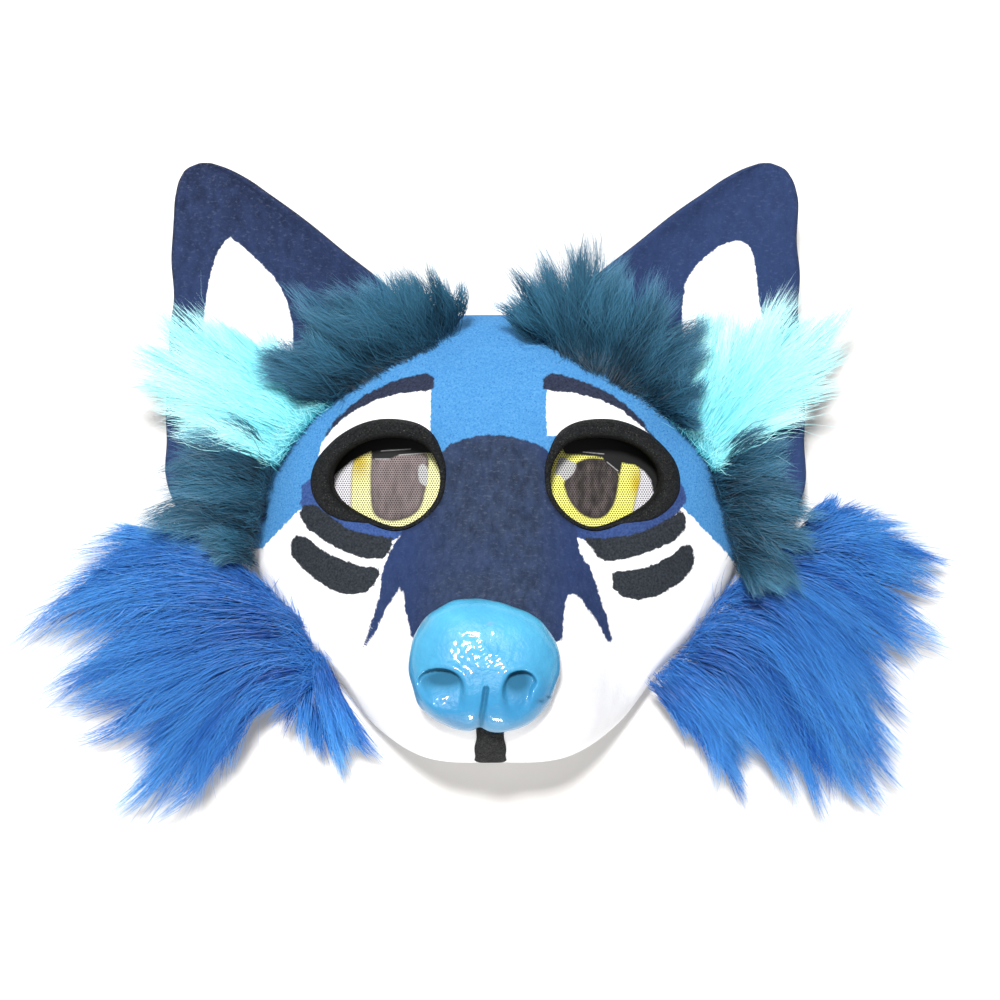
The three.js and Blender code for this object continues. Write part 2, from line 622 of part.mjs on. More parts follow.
// A patch of long fur: its locks fused to a strip of backing along their roots
function furPatch(fur, grow) {
  const turns = fur.locks.map((row) =>
    Math.atan2(row.up * HALF_HEIGHT - POLE.y, row.across * HALF_WIDTH - POLE.x),
  );
  const unwrapped = turns.map((turn) => (turn < -QUARTER ? turn + 2 * Math.PI : turn));
  const [first, last] = [Math.min(...unwrapped), Math.max(...unwrapped)];
  const marginTurn = fur.lockWidth / 3 / HALF_WIDTH;
  const steps = 10;
  const sections = Array.from({ length: steps + 1 }, (_, i) => {
    const turn = first - marginTurn + ((last - first + 2 * marginTurn) * i) / steps;
    const outward = (lift, outset) => offsetPoint(turn, lift, outset);
    const thick = SEAT_GAP + FUR_BACKING + grow;
    const [low, high] = [fur.backingLow * QUARTER, fur.backingHigh * QUARTER];
    const middle = (low + high) / 2;
    return [
      outward(low, -SHELL_WALL),
      outward(low, thick),
      outward(middle, thick),
      outward(high, thick),
      outward(high, -SHELL_WALL),
    ];
  });
  const backing = loft(sections, meanPoint(sections[0]), meanPoint(sections[steps]));
  let solid = backing;
  for (const row of fur.locks) solid = solid.add(lock(row, fur, grow));
  return solid;
}

const NAVY = { color: 0x2a3563, roughness: 0.9, metalness: 0 };
const SKY_FELT = { color: 0x3585d8, roughness: 0.9, metalness: 0 };
const BLACK_FOAM = { color: 0x262626, roughness: 0.85, metalness: 0 };
const SIGHT_MESH = { color: 0xd8c23a, roughness: 0.6, metalness: 0 };
const GLOSS_BLUE = { color: 0x35a3e0, roughness: 0.25, metalness: 0 };
const TEAL_FUR = { color: 0x24566e, roughness: 0.8, metalness: 0 };
const AQUA_FUR = { color: 0x7fe3ea, roughness: 0.8, metalness: 0 };
const ROYAL_FUR = { color: 0x2c6fc4, roughness: 0.8, metalness: 0 };

// Fur patches: heights are above the rim plane, and backing runs between two shares of the way up from the rim
const CHEEK = {
  pile: CHEEK_PILE,
  lockWidth: CHEEK_LOCK,
  flatness: 0.75,
  rootLeast: 12,
  tipHeight: 7,
  arch: 9,
  backingLow: 0.08,
  backingHigh: 0.3,
};
const SIDE = {
  pile: SIDE_PILE,
  lockWidth: SIDE_LOCK,
  flatness: 0.62,
  rootLeast: 24,
  tipHeight: 33,
  arch: 5,
  backingLow: 0.1,
  backingHigh: 0.34,
};
const INNER_EAR = {
  pile: INNER_EAR_PILE,
  lockWidth: INNER_EAR_LOCK,
  flatness: 0.5,
  rootLeast: 26,
  tipHeight: 36,
  arch: 3,
  backingLow: 0.14,
  backingHigh: 0.3,
};
const BROW = {
  pile: BROW_PILE,
  lockWidth: BROW_LOCK,
  flatness: 0.62,
  rootLeast: 26,
  tipHeight: 40,
  arch: 6,
  backingLow: 0.12,
  backingHigh: 0.3,
};

function pieceMesh(name, solid, material) {
  const { vertProperties, triVerts } = solid.getMesh();
  const geometry = new THREE.BufferGeometry();
  geometry.setAttribute("position", new THREE.BufferAttribute(new Float32Array(vertProperties), 3));
  geometry.setIndex(new THREE.BufferAttribute(new Uint32Array(triVerts), 1));
  geometry.computeVertexNormals();
  const mesh = new THREE.Mesh(geometry, new THREE.MeshStandardMaterial(material));
  mesh.name = name;
  return mesh;
}

const mask = new THREE.Group();
const FACE_CUTTER = filledFace(SEAT_GAP);
const NOSE_SOLID = nose();
const NOSE_CUTTER = prism(
  Array.from({ length: NOSE_TURNS }, (_, i) => {
    const turn = (2 * Math.PI * i) / NOSE_TURNS;
    const [reachX, reachY] = [NOSE_WIDTH / 2 + SEAT_GAP, NOSE_HEIGHT / 2 + SEAT_GAP];
    return new THREE.Vector2(NOSE_SHIFT + reachX * Math.cos(turn), NOSE_UP + reachY * Math.sin(turn));
  }),
  0,
  MUZZLE_DEPTH * 2,
);
mask.add(pieceMesh("face_shell", hollowFace(0, SLEEVE_WALL + SEAT_GAP), SKY_FELT));
mask.add(pieceMesh("nose", NOSE_SOLID, GLOSS_BLUE));
mask.add(pieceMesh("lip_strip", lipStrip(), BLACK_FOAM));

const SIDES = [
  {
    name: "left",
    side: -1,
    cheek: CHEEK_LEFT_LOCKS,
    temple: SIDE_LEFT_LOCKS,
    innerEar: INNER_EAR_LEFT_LOCKS,
    brow: BROW_LEFT_LOCKS,
  },
  {
    name: "right",
    side: 1,
    cheek: CHEEK_RIGHT_LOCKS,
    temple: SIDE_RIGHT_LOCKS,
    innerEar: INNER_EAR_RIGHT_LOCKS,
    brow: BROW_RIGHT_LOCKS,
  },
];
for (const { name, side, cheek, temple, innerEar, brow } of SIDES) {
  mask.add(pieceMesh("eye_rim_" + name, eyeRim(side), BLACK_FOAM));
  mask.add(pieceMesh("eye_mesh_" + name, eyeMesh(side), SIGHT_MESH));
  mask.add(pieceMesh("ear_" + name, largest(ear(side, 0).subtract(FACE_CUTTER)), NAVY));
  const patches = [
    { label: "fur_cheek_", fur: { ...CHEEK, locks: cheek }, material: ROYAL_FUR },
    { label: "fur_side_", fur: { ...SIDE, locks: temple }, material: TEAL_FUR },
    { label: "fur_inner_ear_", fur: { ...INNER_EAR, locks: innerEar }, material: AQUA_FUR },
    { label: "fur_brow_", fur: { ...BROW, locks: brow }, material: TEAL_FUR },
  ];
  let taken = ear(side, SEAT_GAP).add(FACE_CUTTER);
  for (const { label, fur, material } of patches) {
    mask.add(pieceMesh(label + name, largest(furPatch(fur, 0).subtract(taken)), material));
    taken = taken.add(furPatch(fur, SEAT_GAP));
  }
}

export default mask;
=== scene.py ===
"""Looks of the wearable canine mask: painted felt, foam lids, printed eyes, cast nose and long fur."""

import math

import bpy
import numpy as np
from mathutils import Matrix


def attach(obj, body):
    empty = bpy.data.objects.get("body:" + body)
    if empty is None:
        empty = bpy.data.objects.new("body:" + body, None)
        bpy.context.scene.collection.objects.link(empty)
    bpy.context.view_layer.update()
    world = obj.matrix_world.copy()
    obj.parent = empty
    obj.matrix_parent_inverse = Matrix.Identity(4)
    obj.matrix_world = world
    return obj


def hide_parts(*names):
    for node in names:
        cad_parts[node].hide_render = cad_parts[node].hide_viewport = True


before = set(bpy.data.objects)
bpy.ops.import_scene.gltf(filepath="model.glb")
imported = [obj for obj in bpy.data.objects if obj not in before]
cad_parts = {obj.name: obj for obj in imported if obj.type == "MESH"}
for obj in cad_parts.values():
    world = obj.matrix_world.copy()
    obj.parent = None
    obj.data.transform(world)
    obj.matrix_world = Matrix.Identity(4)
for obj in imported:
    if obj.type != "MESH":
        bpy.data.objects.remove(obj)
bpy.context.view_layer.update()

MM = 0.001
QUARTER = math.pi / 2
BAKE_MAP = "OFBake"

# The camera looks straight down on the mask from here, in millimetres
VIEW = np.array([1.6, 12.4, 600.0])
PICTURE_SIDE = 1000.0  # the picture's side, in its own units
VIEW_WIDTH = 350.0  # what the picture's side spans at VIEW_LEVEL
VIEW_LEVEL = 30.0
PAINT_LEVEL = 40.0  # painted outlines are laid out as seen on this level

# The face, as in the CAD
HALF_WIDTH = 89.0
HALF_HEIGHT = 80.0
BROW_DEPTH = 44.0
MUZZLE_DEPTH = 71.0
MUZZLE_WIDTH = 100.0
SHELL_WALL = 2.6
EDGE_SQUARENESS = 3.2
DOME_SIDE_FALL = 0.42
RIDGE_SHARPNESS = 2.7
SEAT_GAP = 0.3
POLE = np.array([0.0, -0.475 * HALF_HEIGHT])
RIM_ROWS = [
    (0, 1), (0.4, 0.955), (0.72, 0.73), (0.93, 0.38), (1, 0.02), (0.965, -0.2),
    (0.84, -0.42), (0.66, -0.64), (0.5, -0.86), (0.3, -0.985), (0, -1),
]
# up, dome, ridge, reach
FACE_STATIONS = [
    (-1, 0.76, 0.98, 1), (-0.65, 0.82, 1, 1), (-0.4, 0.88, 0.985, 0.94), (-0.2, 0.93, 0.89, 0.84),
    (0, 0.97, 0.75, 0.74), (0.2, 1, 0.635, 0.66), (0.42, 1, 0.575, 0.6), (0.7, 0.94, 0.537, 0.56),
    (1, 0.8, 0.457, 0.55),
]
# across, up, radius, rise
RELIEF_ROWS = [
    (0.42, 0.23, 0.24, -0.1), (0.4, 0.55, 0.22, 0.08), (0.6, -0.16, 0.26, 0.08), (0.3, -0.74, 0.17, 0.08),
]

# The eyes, as in the CAD
EYE_WIDTH = 38.0
EYE_HEIGHT = 31.0
EYE_SPACING = 76.0
EYE_UP = 18.6
EYE_RECESS = 9.0
LID_WIDTH = 6.4
LID_RISE = 5.5
SLEEVE_WALL = 1.2
MESH_THICK = 1.2
EYE_ROWS = [
    (-1, 0.06), (-0.93, 0.46), (-0.66, 0.86), (-0.14, 1), (0.36, 0.92), (0.76, 0.66), (0.99, 0.28),
    (1, -0.1), (0.84, -0.42), (0.36, -0.79), (-0.2, -1), (-0.62, -0.8), (-0.93, -0.36),
]
# round, width, rise
LID_ROWS = [
    (0, 0.12, 0.3), (0.07, 0.3, 0.55), (0.15, 0.7, 0.9), (0.25, 0.82, 1), (0.42, 0.8, 1), (0.52, 1, 0.8),
    (0.59, 0.7, 0.5), (0.68, 0.1, 0.2), (0.88, 0.06, 0.16), (1, 0.12, 0.3),
]

# Nose and lip strip
NOSE_RISE = 14.0
NOSE_UP = -0.525 * HALF_HEIGHT
NOSE_SHIFT = -2.0
LIP_STRIP_WIDTH = 10.0
LIP_STRIP_THICK = 1.2
LIP_STRIP_END = 0.7 * MUZZLE_DEPTH

# The ears, as in the CAD
EAR_HEIGHT = 126.0
EAR_WIDTH = 98.0
EAR_THICK = 5.0
EAR_BASE_UP = 5.0
EAR_REACH = 114.0
EAR_SHIFT = -3.5
EAR_LIFT = 9.0
EAR_LEAN = 13.0
EAR_CUP = 5.0
# up, outer, inner
EAR_ROWS = [
    (0, 0.05, 0.36), (0.07, 0.01, 0.5), (0.24, 0, 0.72), (0.46, 0.02, 0.8), (0.58, 0.03, 0.885),
    (0.67, 0.034, 0.79), (0.76, 0.038, 0.65), (0.85, 0.042, 0.5), (0.91, 0.048, 0.395), (0.96, 0.066, 0.3),
    (0.985, 0.09, 0.235), (1, 0.125, 0.185),
]

# Painted outlines, as seen in the picture, in its units from its top left corner
LOW_WHITE = [
    (100, 900), (150, 560), (262, 548), (280, 530), (300, 509), (330, 500), (385, 520), (440, 520),
    (552, 520), (600, 520), (655, 500), (684, 508), (704, 530), (726, 552), (738, 567), (850, 600),
    (900, 900),
]
BROW_STRIP_LEFT = [
    (418, 374), (391, 382), (366, 394), (349, 407), (334, 421), (320, 441), (326, 437), (336, 425),
    (354, 411), (379, 399), (404, 393), (428, 391), (434, 388), (434, 378), (428, 373),
]
BROW_PATCH_LEFT = [
    (431, 388), (404, 391), (379, 397), (354, 409), (336, 423), (322, 442), (318, 456), (335, 450),
    (370, 430), (430, 436),
]
BAND_LEFT = [
    (312, 478), (302, 484), (300, 506), (312, 510), (331, 522), (349, 532), (362, 537), (381, 540),
    (393, 541), (404, 533), (440, 505), (440, 470),
]
BAND_RIGHT = [
    (560, 500), (574, 537), (595, 544), (626, 541), (653, 531), (675, 517), (687, 500), (685, 490),
    (676, 478), (640, 470),
]
STRIPE_ONE_LEFT = [
    (303, 506), (298, 514), (306, 528), (319, 537), (335, 548), (353, 555), (367, 559), (384, 559),
    (391, 550), (393, 538), (381, 536), (360, 533), (347, 528), (331, 517), (319, 507), (311, 504),
]
STRIPE_TWO_LEFT = [
    (296, 535), (290, 543), (292, 557), (303, 569), (314, 578), (328, 589), (342, 594), (355, 595),
    (367, 592), (374, 585), (379, 575), (380, 567), (360, 566), (346, 561), (331, 555), (317, 546),
    (306, 537),
]
STRIPE_ONE_RIGHT = [
    (582, 538), (606, 538), (634, 534), (656, 526), (681, 510), (686, 517), (686, 528), (675, 541),
    (652, 551), (627, 559), (606, 562), (597, 557), (590, 546),
]
STRIPE_TWO_RIGHT = [
    (611, 574), (617, 571), (634, 570), (656, 564), (674, 553), (681, 546), (691, 544), (695, 558),
    (693, 569), (681, 582), (659, 596), (638, 600), (622, 597), (613, 588),
]
BRIDGE = [
    (440, 455), (449, 445), (466, 438), (487, 435), (510, 436), (533, 442), (547, 450), (552, 462),
    (562, 500), (577, 532), (580, 553), (589, 566), (594, 578), (600, 596), (607, 618), (613, 643),
    (607, 640), (599, 625), (588, 609), (579, 597), (571, 592), (566, 597), (564, 614), (563, 640),
    (500, 660), (412, 640), (409, 625), (405, 608), (403, 584), (397, 592), (391, 601), (385, 611),
    (378, 628), (367, 646), (362, 649), (369, 628), (375, 611), (380, 592), (381, 576), (385, 562),
    (392, 548), (402, 532), (430, 510), (440, 480),
]
EAR_WHITE_LEFT = [
    (229, 237), (219, 249), (212, 270), (207, 293), (204, 320), (200, 400), (292, 400), (293, 329),
    (289, 309), (284, 294), (274, 277), (259, 262), (242, 246),
]
EAR_WHITE_RIGHT = [
    (741, 240), (723, 244), (706, 256), (692, 271), (685, 285), (682, 310), (684, 400), (775, 400),
    (763, 322), (760, 306), (757, 285), (754, 259), (749, 246),
]

# Fur guides as seen in the picture: across and up at the root, at one or two places on the way
# and at the tip, in the picture's units
BROW_LEFT = [
    (458, 322, 462, 304, 452, 284), (450, 335, 442, 302, 424, 252), (434, 347, 418, 306, 396, 252),
    (416, 354, 390, 314, 346, 272), (400, 361, 362, 326, 300, 284), (385, 368, 342, 343, 272, 312),
    (371, 377, 326, 362, 280, 341), (357, 386, 305, 363, 246, 335), (343, 394, 296, 377, 248, 362),
    (328, 403, 296, 390, 262, 382),
]
BROW_RIGHT = [
    (540, 336, 514, 317, 484, 306), (550, 343, 526, 320, 500, 303), (558, 349, 540, 298, 520, 246),
    (569, 357, 552, 290, 540, 226), (580, 364, 572, 288, 556, 212), (590, 369, 590, 293, 584, 212),
    (600, 374, 606, 310, 622, 238), (609, 379, 632, 320, 660, 258), (619, 385, 652, 338, 690, 288),
    (630, 391, 666, 356, 704, 310), (642, 398, 674, 374, 712, 336), (655, 407, 682, 394, 710, 370),
    (669, 418, 688, 414, 708, 408), (683, 428, 696, 428, 710, 432),
]
INNER_EAR_LEFT = [
    (330, 402, 285, 362, 258, 318), (322, 409, 262, 362, 202, 312), (314, 416, 242, 374, 134, 312),
    (307, 423, 232, 384, 112, 332), (300, 431, 230, 398, 116, 358), (293, 440, 226, 410, 130, 386),
    (284, 450, 226, 424, 152, 414), (276, 464, 234, 442, 176, 432),
]
INNER_EAR_RIGHT = [
    (672, 420, 690, 370, 694, 312), (680, 428, 704, 366, 716, 290), (686, 434, 722, 366, 740, 280),
    (692, 440, 738, 372, 782, 282), (698, 446, 750, 378, 830, 286), (703, 452, 760, 390, 856, 300),
    (708, 458, 764, 402, 852, 344), (712, 463, 764, 416, 838, 384), (715, 469, 758, 432, 818, 418),
]
SIDE_LEFT = [
    (274, 468, 236, 432, 188, 406), (271, 477, 222, 446, 168, 422), (269, 486, 212, 462, 152, 454),
    (266, 495, 208, 478, 141, 485), (264, 506, 204, 494, 136, 503), (261, 519, 204, 506, 124, 519),
    (259, 533, 214, 522, 160, 524), (256, 548, 222, 538, 186, 538), (254, 566, 228, 558, 204, 566),
]
SIDE_RIGHT = [
    (708, 464, 748, 440, 797, 419), (712, 474, 758, 456, 804, 437), (715, 485, 764, 474, 808, 470),
    (718, 497, 768, 492, 816, 502), (722, 510, 772, 510, 822, 530), (726, 524, 772, 532, 820, 557),
    (730, 541, 772, 556, 812, 590), (735, 556, 764, 575, 794, 602), (740, 570, 755, 582, 766, 597),
]
CHEEK_LEFT = [
    (241, 572, 203, 549, 166, 534, 128, 515), (250, 577, 197, 546, 141, 534, 68, 538),
    (267, 589, 197, 561, 129, 559, 56, 580), (283, 605, 203, 574, 113, 584, 3, 632),
    (298, 620, 216, 595, 113, 612, 26, 680), (305, 630, 228, 617, 135, 642, 24, 696),
    (311, 643, 241, 639, 147, 677, 42, 737), (315, 654, 247, 655, 166, 702, 62, 750),
    (317, 664, 247, 670, 178, 723, 108, 776), (319, 671, 247, 683, 194, 736, 119, 838),
    (321, 678, 250, 692, 210, 739, 148, 834), (322, 684, 247, 698, 213, 745, 196, 797),
    (322, 684, 275, 692, 246, 706, 226, 722), (318, 676, 292, 700, 278, 728, 271, 766),
    (315, 660, 309, 700, 312, 742, 322, 782), (314, 655, 323, 700, 335, 742, 347, 782),
    (317, 652, 333, 698, 347, 738, 362, 778), (321, 652, 339, 698, 358, 738, 386, 772),
]
CHEEK_RIGHT = [
    (800, 530, 812, 514, 825, 500, 842, 478), (785, 548, 812, 540, 848, 524, 916, 517),
    (776, 556, 820, 540, 874, 538, 954, 553), (766, 564, 820, 548, 880, 558, 952, 582),
    (754, 571, 800, 562, 866, 582, 946, 628), (744, 576, 792, 578, 864, 610, 942, 674),
    (731, 588, 774, 583, 846, 622, 926, 705), (720, 600, 768, 589, 834, 640, 902, 733),
    (709, 615, 762, 601, 828, 658, 908, 772), (700, 627, 756, 622, 816, 682, 890, 818),
    (692, 638, 744, 640, 798, 700, 866, 808), (684, 648, 732, 658, 780, 715, 846, 840),
    (675, 657, 720, 676, 762, 724, 812, 802), (666, 666, 702, 694, 735, 736, 770, 780),
    (657, 674, 687, 703, 714, 739, 746, 817), (646, 685, 669, 706, 690, 727, 712, 750),
]


# Measuring helpers
def picture_scale(level):
    return VIEW_WIDTH / PICTURE_SIDE * (VIEW[2] - np.asarray(level)) / (VIEW[2] - VIEW_LEVEL)


def from_picture(points, level):
    """Plan places, in millimetres, of points seen in the picture at a level, or each at its own level."""
    points = np.asarray(points, float)
    scale = picture_scale(level)
    across = VIEW[0] + (points[..., 0] - PICTURE_SIDE / 2) * scale
    up = VIEW[1] + (PICTURE_SIDE / 2 - points[..., 1]) * scale
    return np.stack([across, up], -1)


def as_painted(points):
    """Where surface points are seen on the level that painted outlines are laid out on."""
    nearer = (VIEW[2] - PAINT_LEVEL) / (VIEW[2] - points[:, 2])
    return VIEW[:2] + (points[:, :2] - VIEW[:2]) * nearer[:, None]


def closed_curve(rows, count):
    """Evenly spaced points on a smooth closed curve through the rows."""
    rows = np.asarray(rows, float)
    fine = []
    step = np.linspace(0, 1, 60, endpoint=False)[:, None]
    for i in range(len(rows)):
        p0, p1, p2, p3 = (rows[(i + k - 1) % len(rows)] for k in range(4))
        d0, d1, d2 = (max(1e-6, np.linalg.norm(b - a) ** 0.5) for a, b in ((p0, p1), (p1, p2), (p2, p3)))
        t1 = ((p1 - p0) / d0 - (p2 - p0) / (d0 + d1) + (p2 - p1) / d1) * d1
        t2 = ((p2 - p1) / d1 - (p3 - p1) / (d1 + d2) + (p3 - p2) / d2) * d1
        fine.append(
            p1 + t1 * step + (3 * (p2 - p1) - 2 * t1 - t2) * step**2 + (2 * (p1 - p2) + t1 + t2) * step**3
        )
    fine = np.concatenate(fine)
    loop = np.vstack([fine, fine[:1]])
    run = np.concatenate([[0], np.cumsum(np.linalg.norm(np.diff(loop, axis=0), axis=1))])
    at = np.linspace(0, run[-1], count, endpoint=False)
    return np.stack([np.interp(at, run, loop[:, k]) for k in range(rows.shape[1])], -1)


def smooth_read(rows, column, at):
    """A smooth reading of a table's column, with the ends held."""
    rows = np.asarray(rows, float)
    x, y = rows[:, 0], rows[:, column]
    at = np.clip(at, x[0], x[-1])
    slope = np.gradient(y, x)
    i = np.clip(np.searchsorted(x, at) - 1, 0, len(x) - 2)
    h = x[i + 1] - x[i]
    t = (at - x[i]) / h
    return (
        (2 * t**3 - 3 * t**2 + 1) * y[i]
        + (t**3 - 2 * t**2 + t) * h * slope[i]
        + (-2 * t**3 + 3 * t**2) * y[i + 1]
        + (t**3 - t**2) * h * slope[i + 1]
    )


def signed_distance(points, outline):
    """Distance of plan points from a closed outline, below zero inside."""
    outline = np.asarray(outline, float)
    best = np.full(len(points), 1e9)
    inside = np.zeros(len(points), bool)
    for a, b in zip(outline, np.roll(outline, -1, 0)):
        edge = b - a
        away = points - a
        t = np.clip(away @ edge / max(edge @ edge, 1e-9), 0, 1)
        best = np.minimum(best, np.linalg.norm(away - t[:, None] * edge, axis=1))
        crosses = (a[1] > points[:, 1]) != (b[1] > points[:, 1])
        if a[1] != b[1]:
            inside ^= crosses & (points[:, 0] < edge[0] * (points[:, 1] - a[1]) / (b[1] - a[1]) + a[0])
    return np.where(inside, -best, best)


def lumps(points, size, seed, count=14):
    """Gentle unevenness between about -1 and 1, with bumps of about a size in millimetres."""
    rng = np.random.default_rng(seed)
    total = np.zeros(len(points))
    for _ in range(count):
        wave = rng.normal(size=points.shape[1])
        wave *= rng.uniform(0.6, 1.5) * math.pi / size / np.linalg.norm(wave)
        total += np.sin(points @ wave + rng.uniform(0, 2 * math.pi))
    return total / math.sqrt(count / 2) / 1.6


# The face's surface
right_rim = np.array(RIM_ROWS, float) * [HALF_WIDTH, HALF_HEIGHT]
left_rim = (right_rim * [-1, 1])[1:-1][::-1]
rim_line = closed_curve(np.vstack([right_rim, left_rim]), 900) - POLE
rim_turns = np.arctan2(rim_line[:, 1], rim_line[:, 0])
rim_order = np.argsort(rim_turns)
rim_turns = rim_turns[rim_order]
rim_reaches = np.hypot(rim_line[:, 0], rim_line[:, 1])[rim_order]


def rim_reach(turn):
    return np.interp(turn, rim_turns, rim_reaches, period=2 * math.pi)


def crown(x, y):
    up, side = y / HALF_HEIGHT, x / HALF_WIDTH
    dome = BROW_DEPTH * smooth_read(FACE_STATIONS, 1, up)
    ridge = MUZZLE_DEPTH * smooth_read(FACE_STATIONS, 2, up)
    reach = MUZZLE_WIDTH / 2 * smooth_read(FACE_STATIONS, 3, up)
    away = np.minimum(1, np.abs(x) / reach)
    bridge = np.maximum(0, ridge - dome) * (1 - away**RIDGE_SHARPNESS) ** 2
    relief = 0
    for across, height, radius, rise in RELIEF_ROWS:
        dx = (np.abs(x) - across * HALF_WIDTH) / (radius * HALF_WIDTH)
        dy = (y - height * HALF_HEIGHT) / (radius * HALF_WIDTH)
        relief = relief + rise * BROW_DEPTH * np.exp(-(dx * dx + dy * dy))
    return dome * (1 - DOME_SIDE_FALL * side * side) + bridge + relief


def rim_share(x, y):
    """How far out from the pole plan places lie, where 1 is the rim."""
    x, y = x - POLE[0], y - POLE[1]
    return np.hypot(x, y) / rim_reach(np.arctan2(y, x))


def face_height(x, y):
    inward = np.minimum(1, rim_share(x, y))
    return crown(x, y) * (1 - inward**EDGE_SQUARENESS) ** (1 / EDGE_SQUARENESS)


def face_points(turn, lift):
    inward = np.cos(lift) ** (2 / EDGE_SQUARENESS)
    x = POLE[0] + rim_reach(turn) * inward * np.cos(turn)
    y = POLE[1] + rim_reach(turn) * inward * np.sin(turn)
    return np.stack([x, y, np.sin(lift) ** (2 / EDGE_SQUARENESS) * crown(x, y)], -1)


def face_offset(turn, lift, outset):
    """Points of the face moved out along its normal; the rim stays in its plane."""
    step = 1e-3
    along = face_points(turn + step, lift) - face_points(turn - step, lift)
    rising = face_points(turn, np.minimum(lift + step, QUARTER - 1e-4)) - face_points(
        turn, np.maximum(lift - step, 0)
    )
    normal = np.cross(along, rising)
    normal /= np.linalg.norm(normal, axis=-1, keepdims=True)
    moved = face_points(turn, lift) + normal * np.asarray(outset)[..., None]
    moved[..., 2] = np.where(lift <= step, 0, moved[..., 2])
    return moved


# Mesh helpers
def add_mesh(name, points, quads, tris=()):
    """A smooth mesh object from points in millimetres and arrays of faces."""
    quads = np.asarray(quads, np.int32).reshape(-1, 4)
    tris = np.asarray(tris, np.int32).reshape(-1, 3)
    mesh = bpy.data.meshes.new(name)
    mesh.vertices.add(len(points))
    mesh.vertices.foreach_set("co", (np.asarray(points, float) * MM).astype(np.float32).ravel())
    corners = np.concatenate([quads.ravel(), tris.ravel()])
    mesh.loops.add(len(corners))
    mesh.loops.foreach_set("vertex_index", corners)
    starts = np.concatenate([np.arange(len(quads)) * 4, len(quads) * 4 + np.arange(len(tris)) * 3])
    mesh.polygons.add(len(starts))
    mesh.polygons.foreach_set("loop_start", starts.astype(np.int32))
    mesh.update(calc_edges=True)
    mesh.polygons.foreach_set("use_smooth", np.ones(len(starts), bool))
    piece = bpy.data.objects.new(name, mesh)
    bpy.context.scene.collection.objects.link(piece)
    return piece


def grid_quads(rows, columns, closed_columns=False, closed_rows=False):
    """Quads of a grid of points kept row by row."""
    r = np.repeat(np.arange(rows - (not closed_rows)), columns - (not closed_columns))
    c = np.tile(np.arange(columns - (not closed_columns)), rows - (not closed_rows))
    here, below = r * columns, (r + 1) % rows * columns
    ahead = (c + 1) % columns
    return np.stack([here + c, here + ahead, below + ahead, below + c], -1)


def one_side(points, quads):
    """The area of one side of a sheet, in square metres."""
    a, b, c, d = (points[quads[:, k]] for k in range(4))
    return float(0.5 * np.linalg.norm(np.cross(c - a, d - b), axis=1).sum() * MM**2)


def fan_tris(first, count, middle, turned=False):
    """Triangles from a closed ring of points to a middle one."""
    ring = first + np.arange(count)
    tris = np.stack([ring, np.roll(ring, -1), np.full(count, middle)], -1)
    return tris[:, [1, 0, 2]] if turned else tris


def keep_value(piece, name, values):
    kept = piece.data.attributes.new(name, "FLOAT", "POINT")
    kept.data.foreach_set("value", np.asarray(values, np.float32))


def dress(piece, node, slot, *materials):
    for material in materials:
        piece.data.materials.append(material)
    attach(piece, "root")
    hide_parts(node)


def shade(red, green, blue):
    """A base colour given on the usual 0 to 255 screen scale."""
    parts = [c / 255 for c in (red, green, blue)]
    return tuple(c / 12.92 if c <= 0.04045 else ((c + 0.055) / 1.055) ** 2.4 for c in parts) + (1.0,)


def seen(red, green, blue):
    """A base colour that comes out like this one in the scene's light."""
    return tuple(c / SEEN_LIGHT for c in shade(red, green, blue)[:3]) + (1.0,)


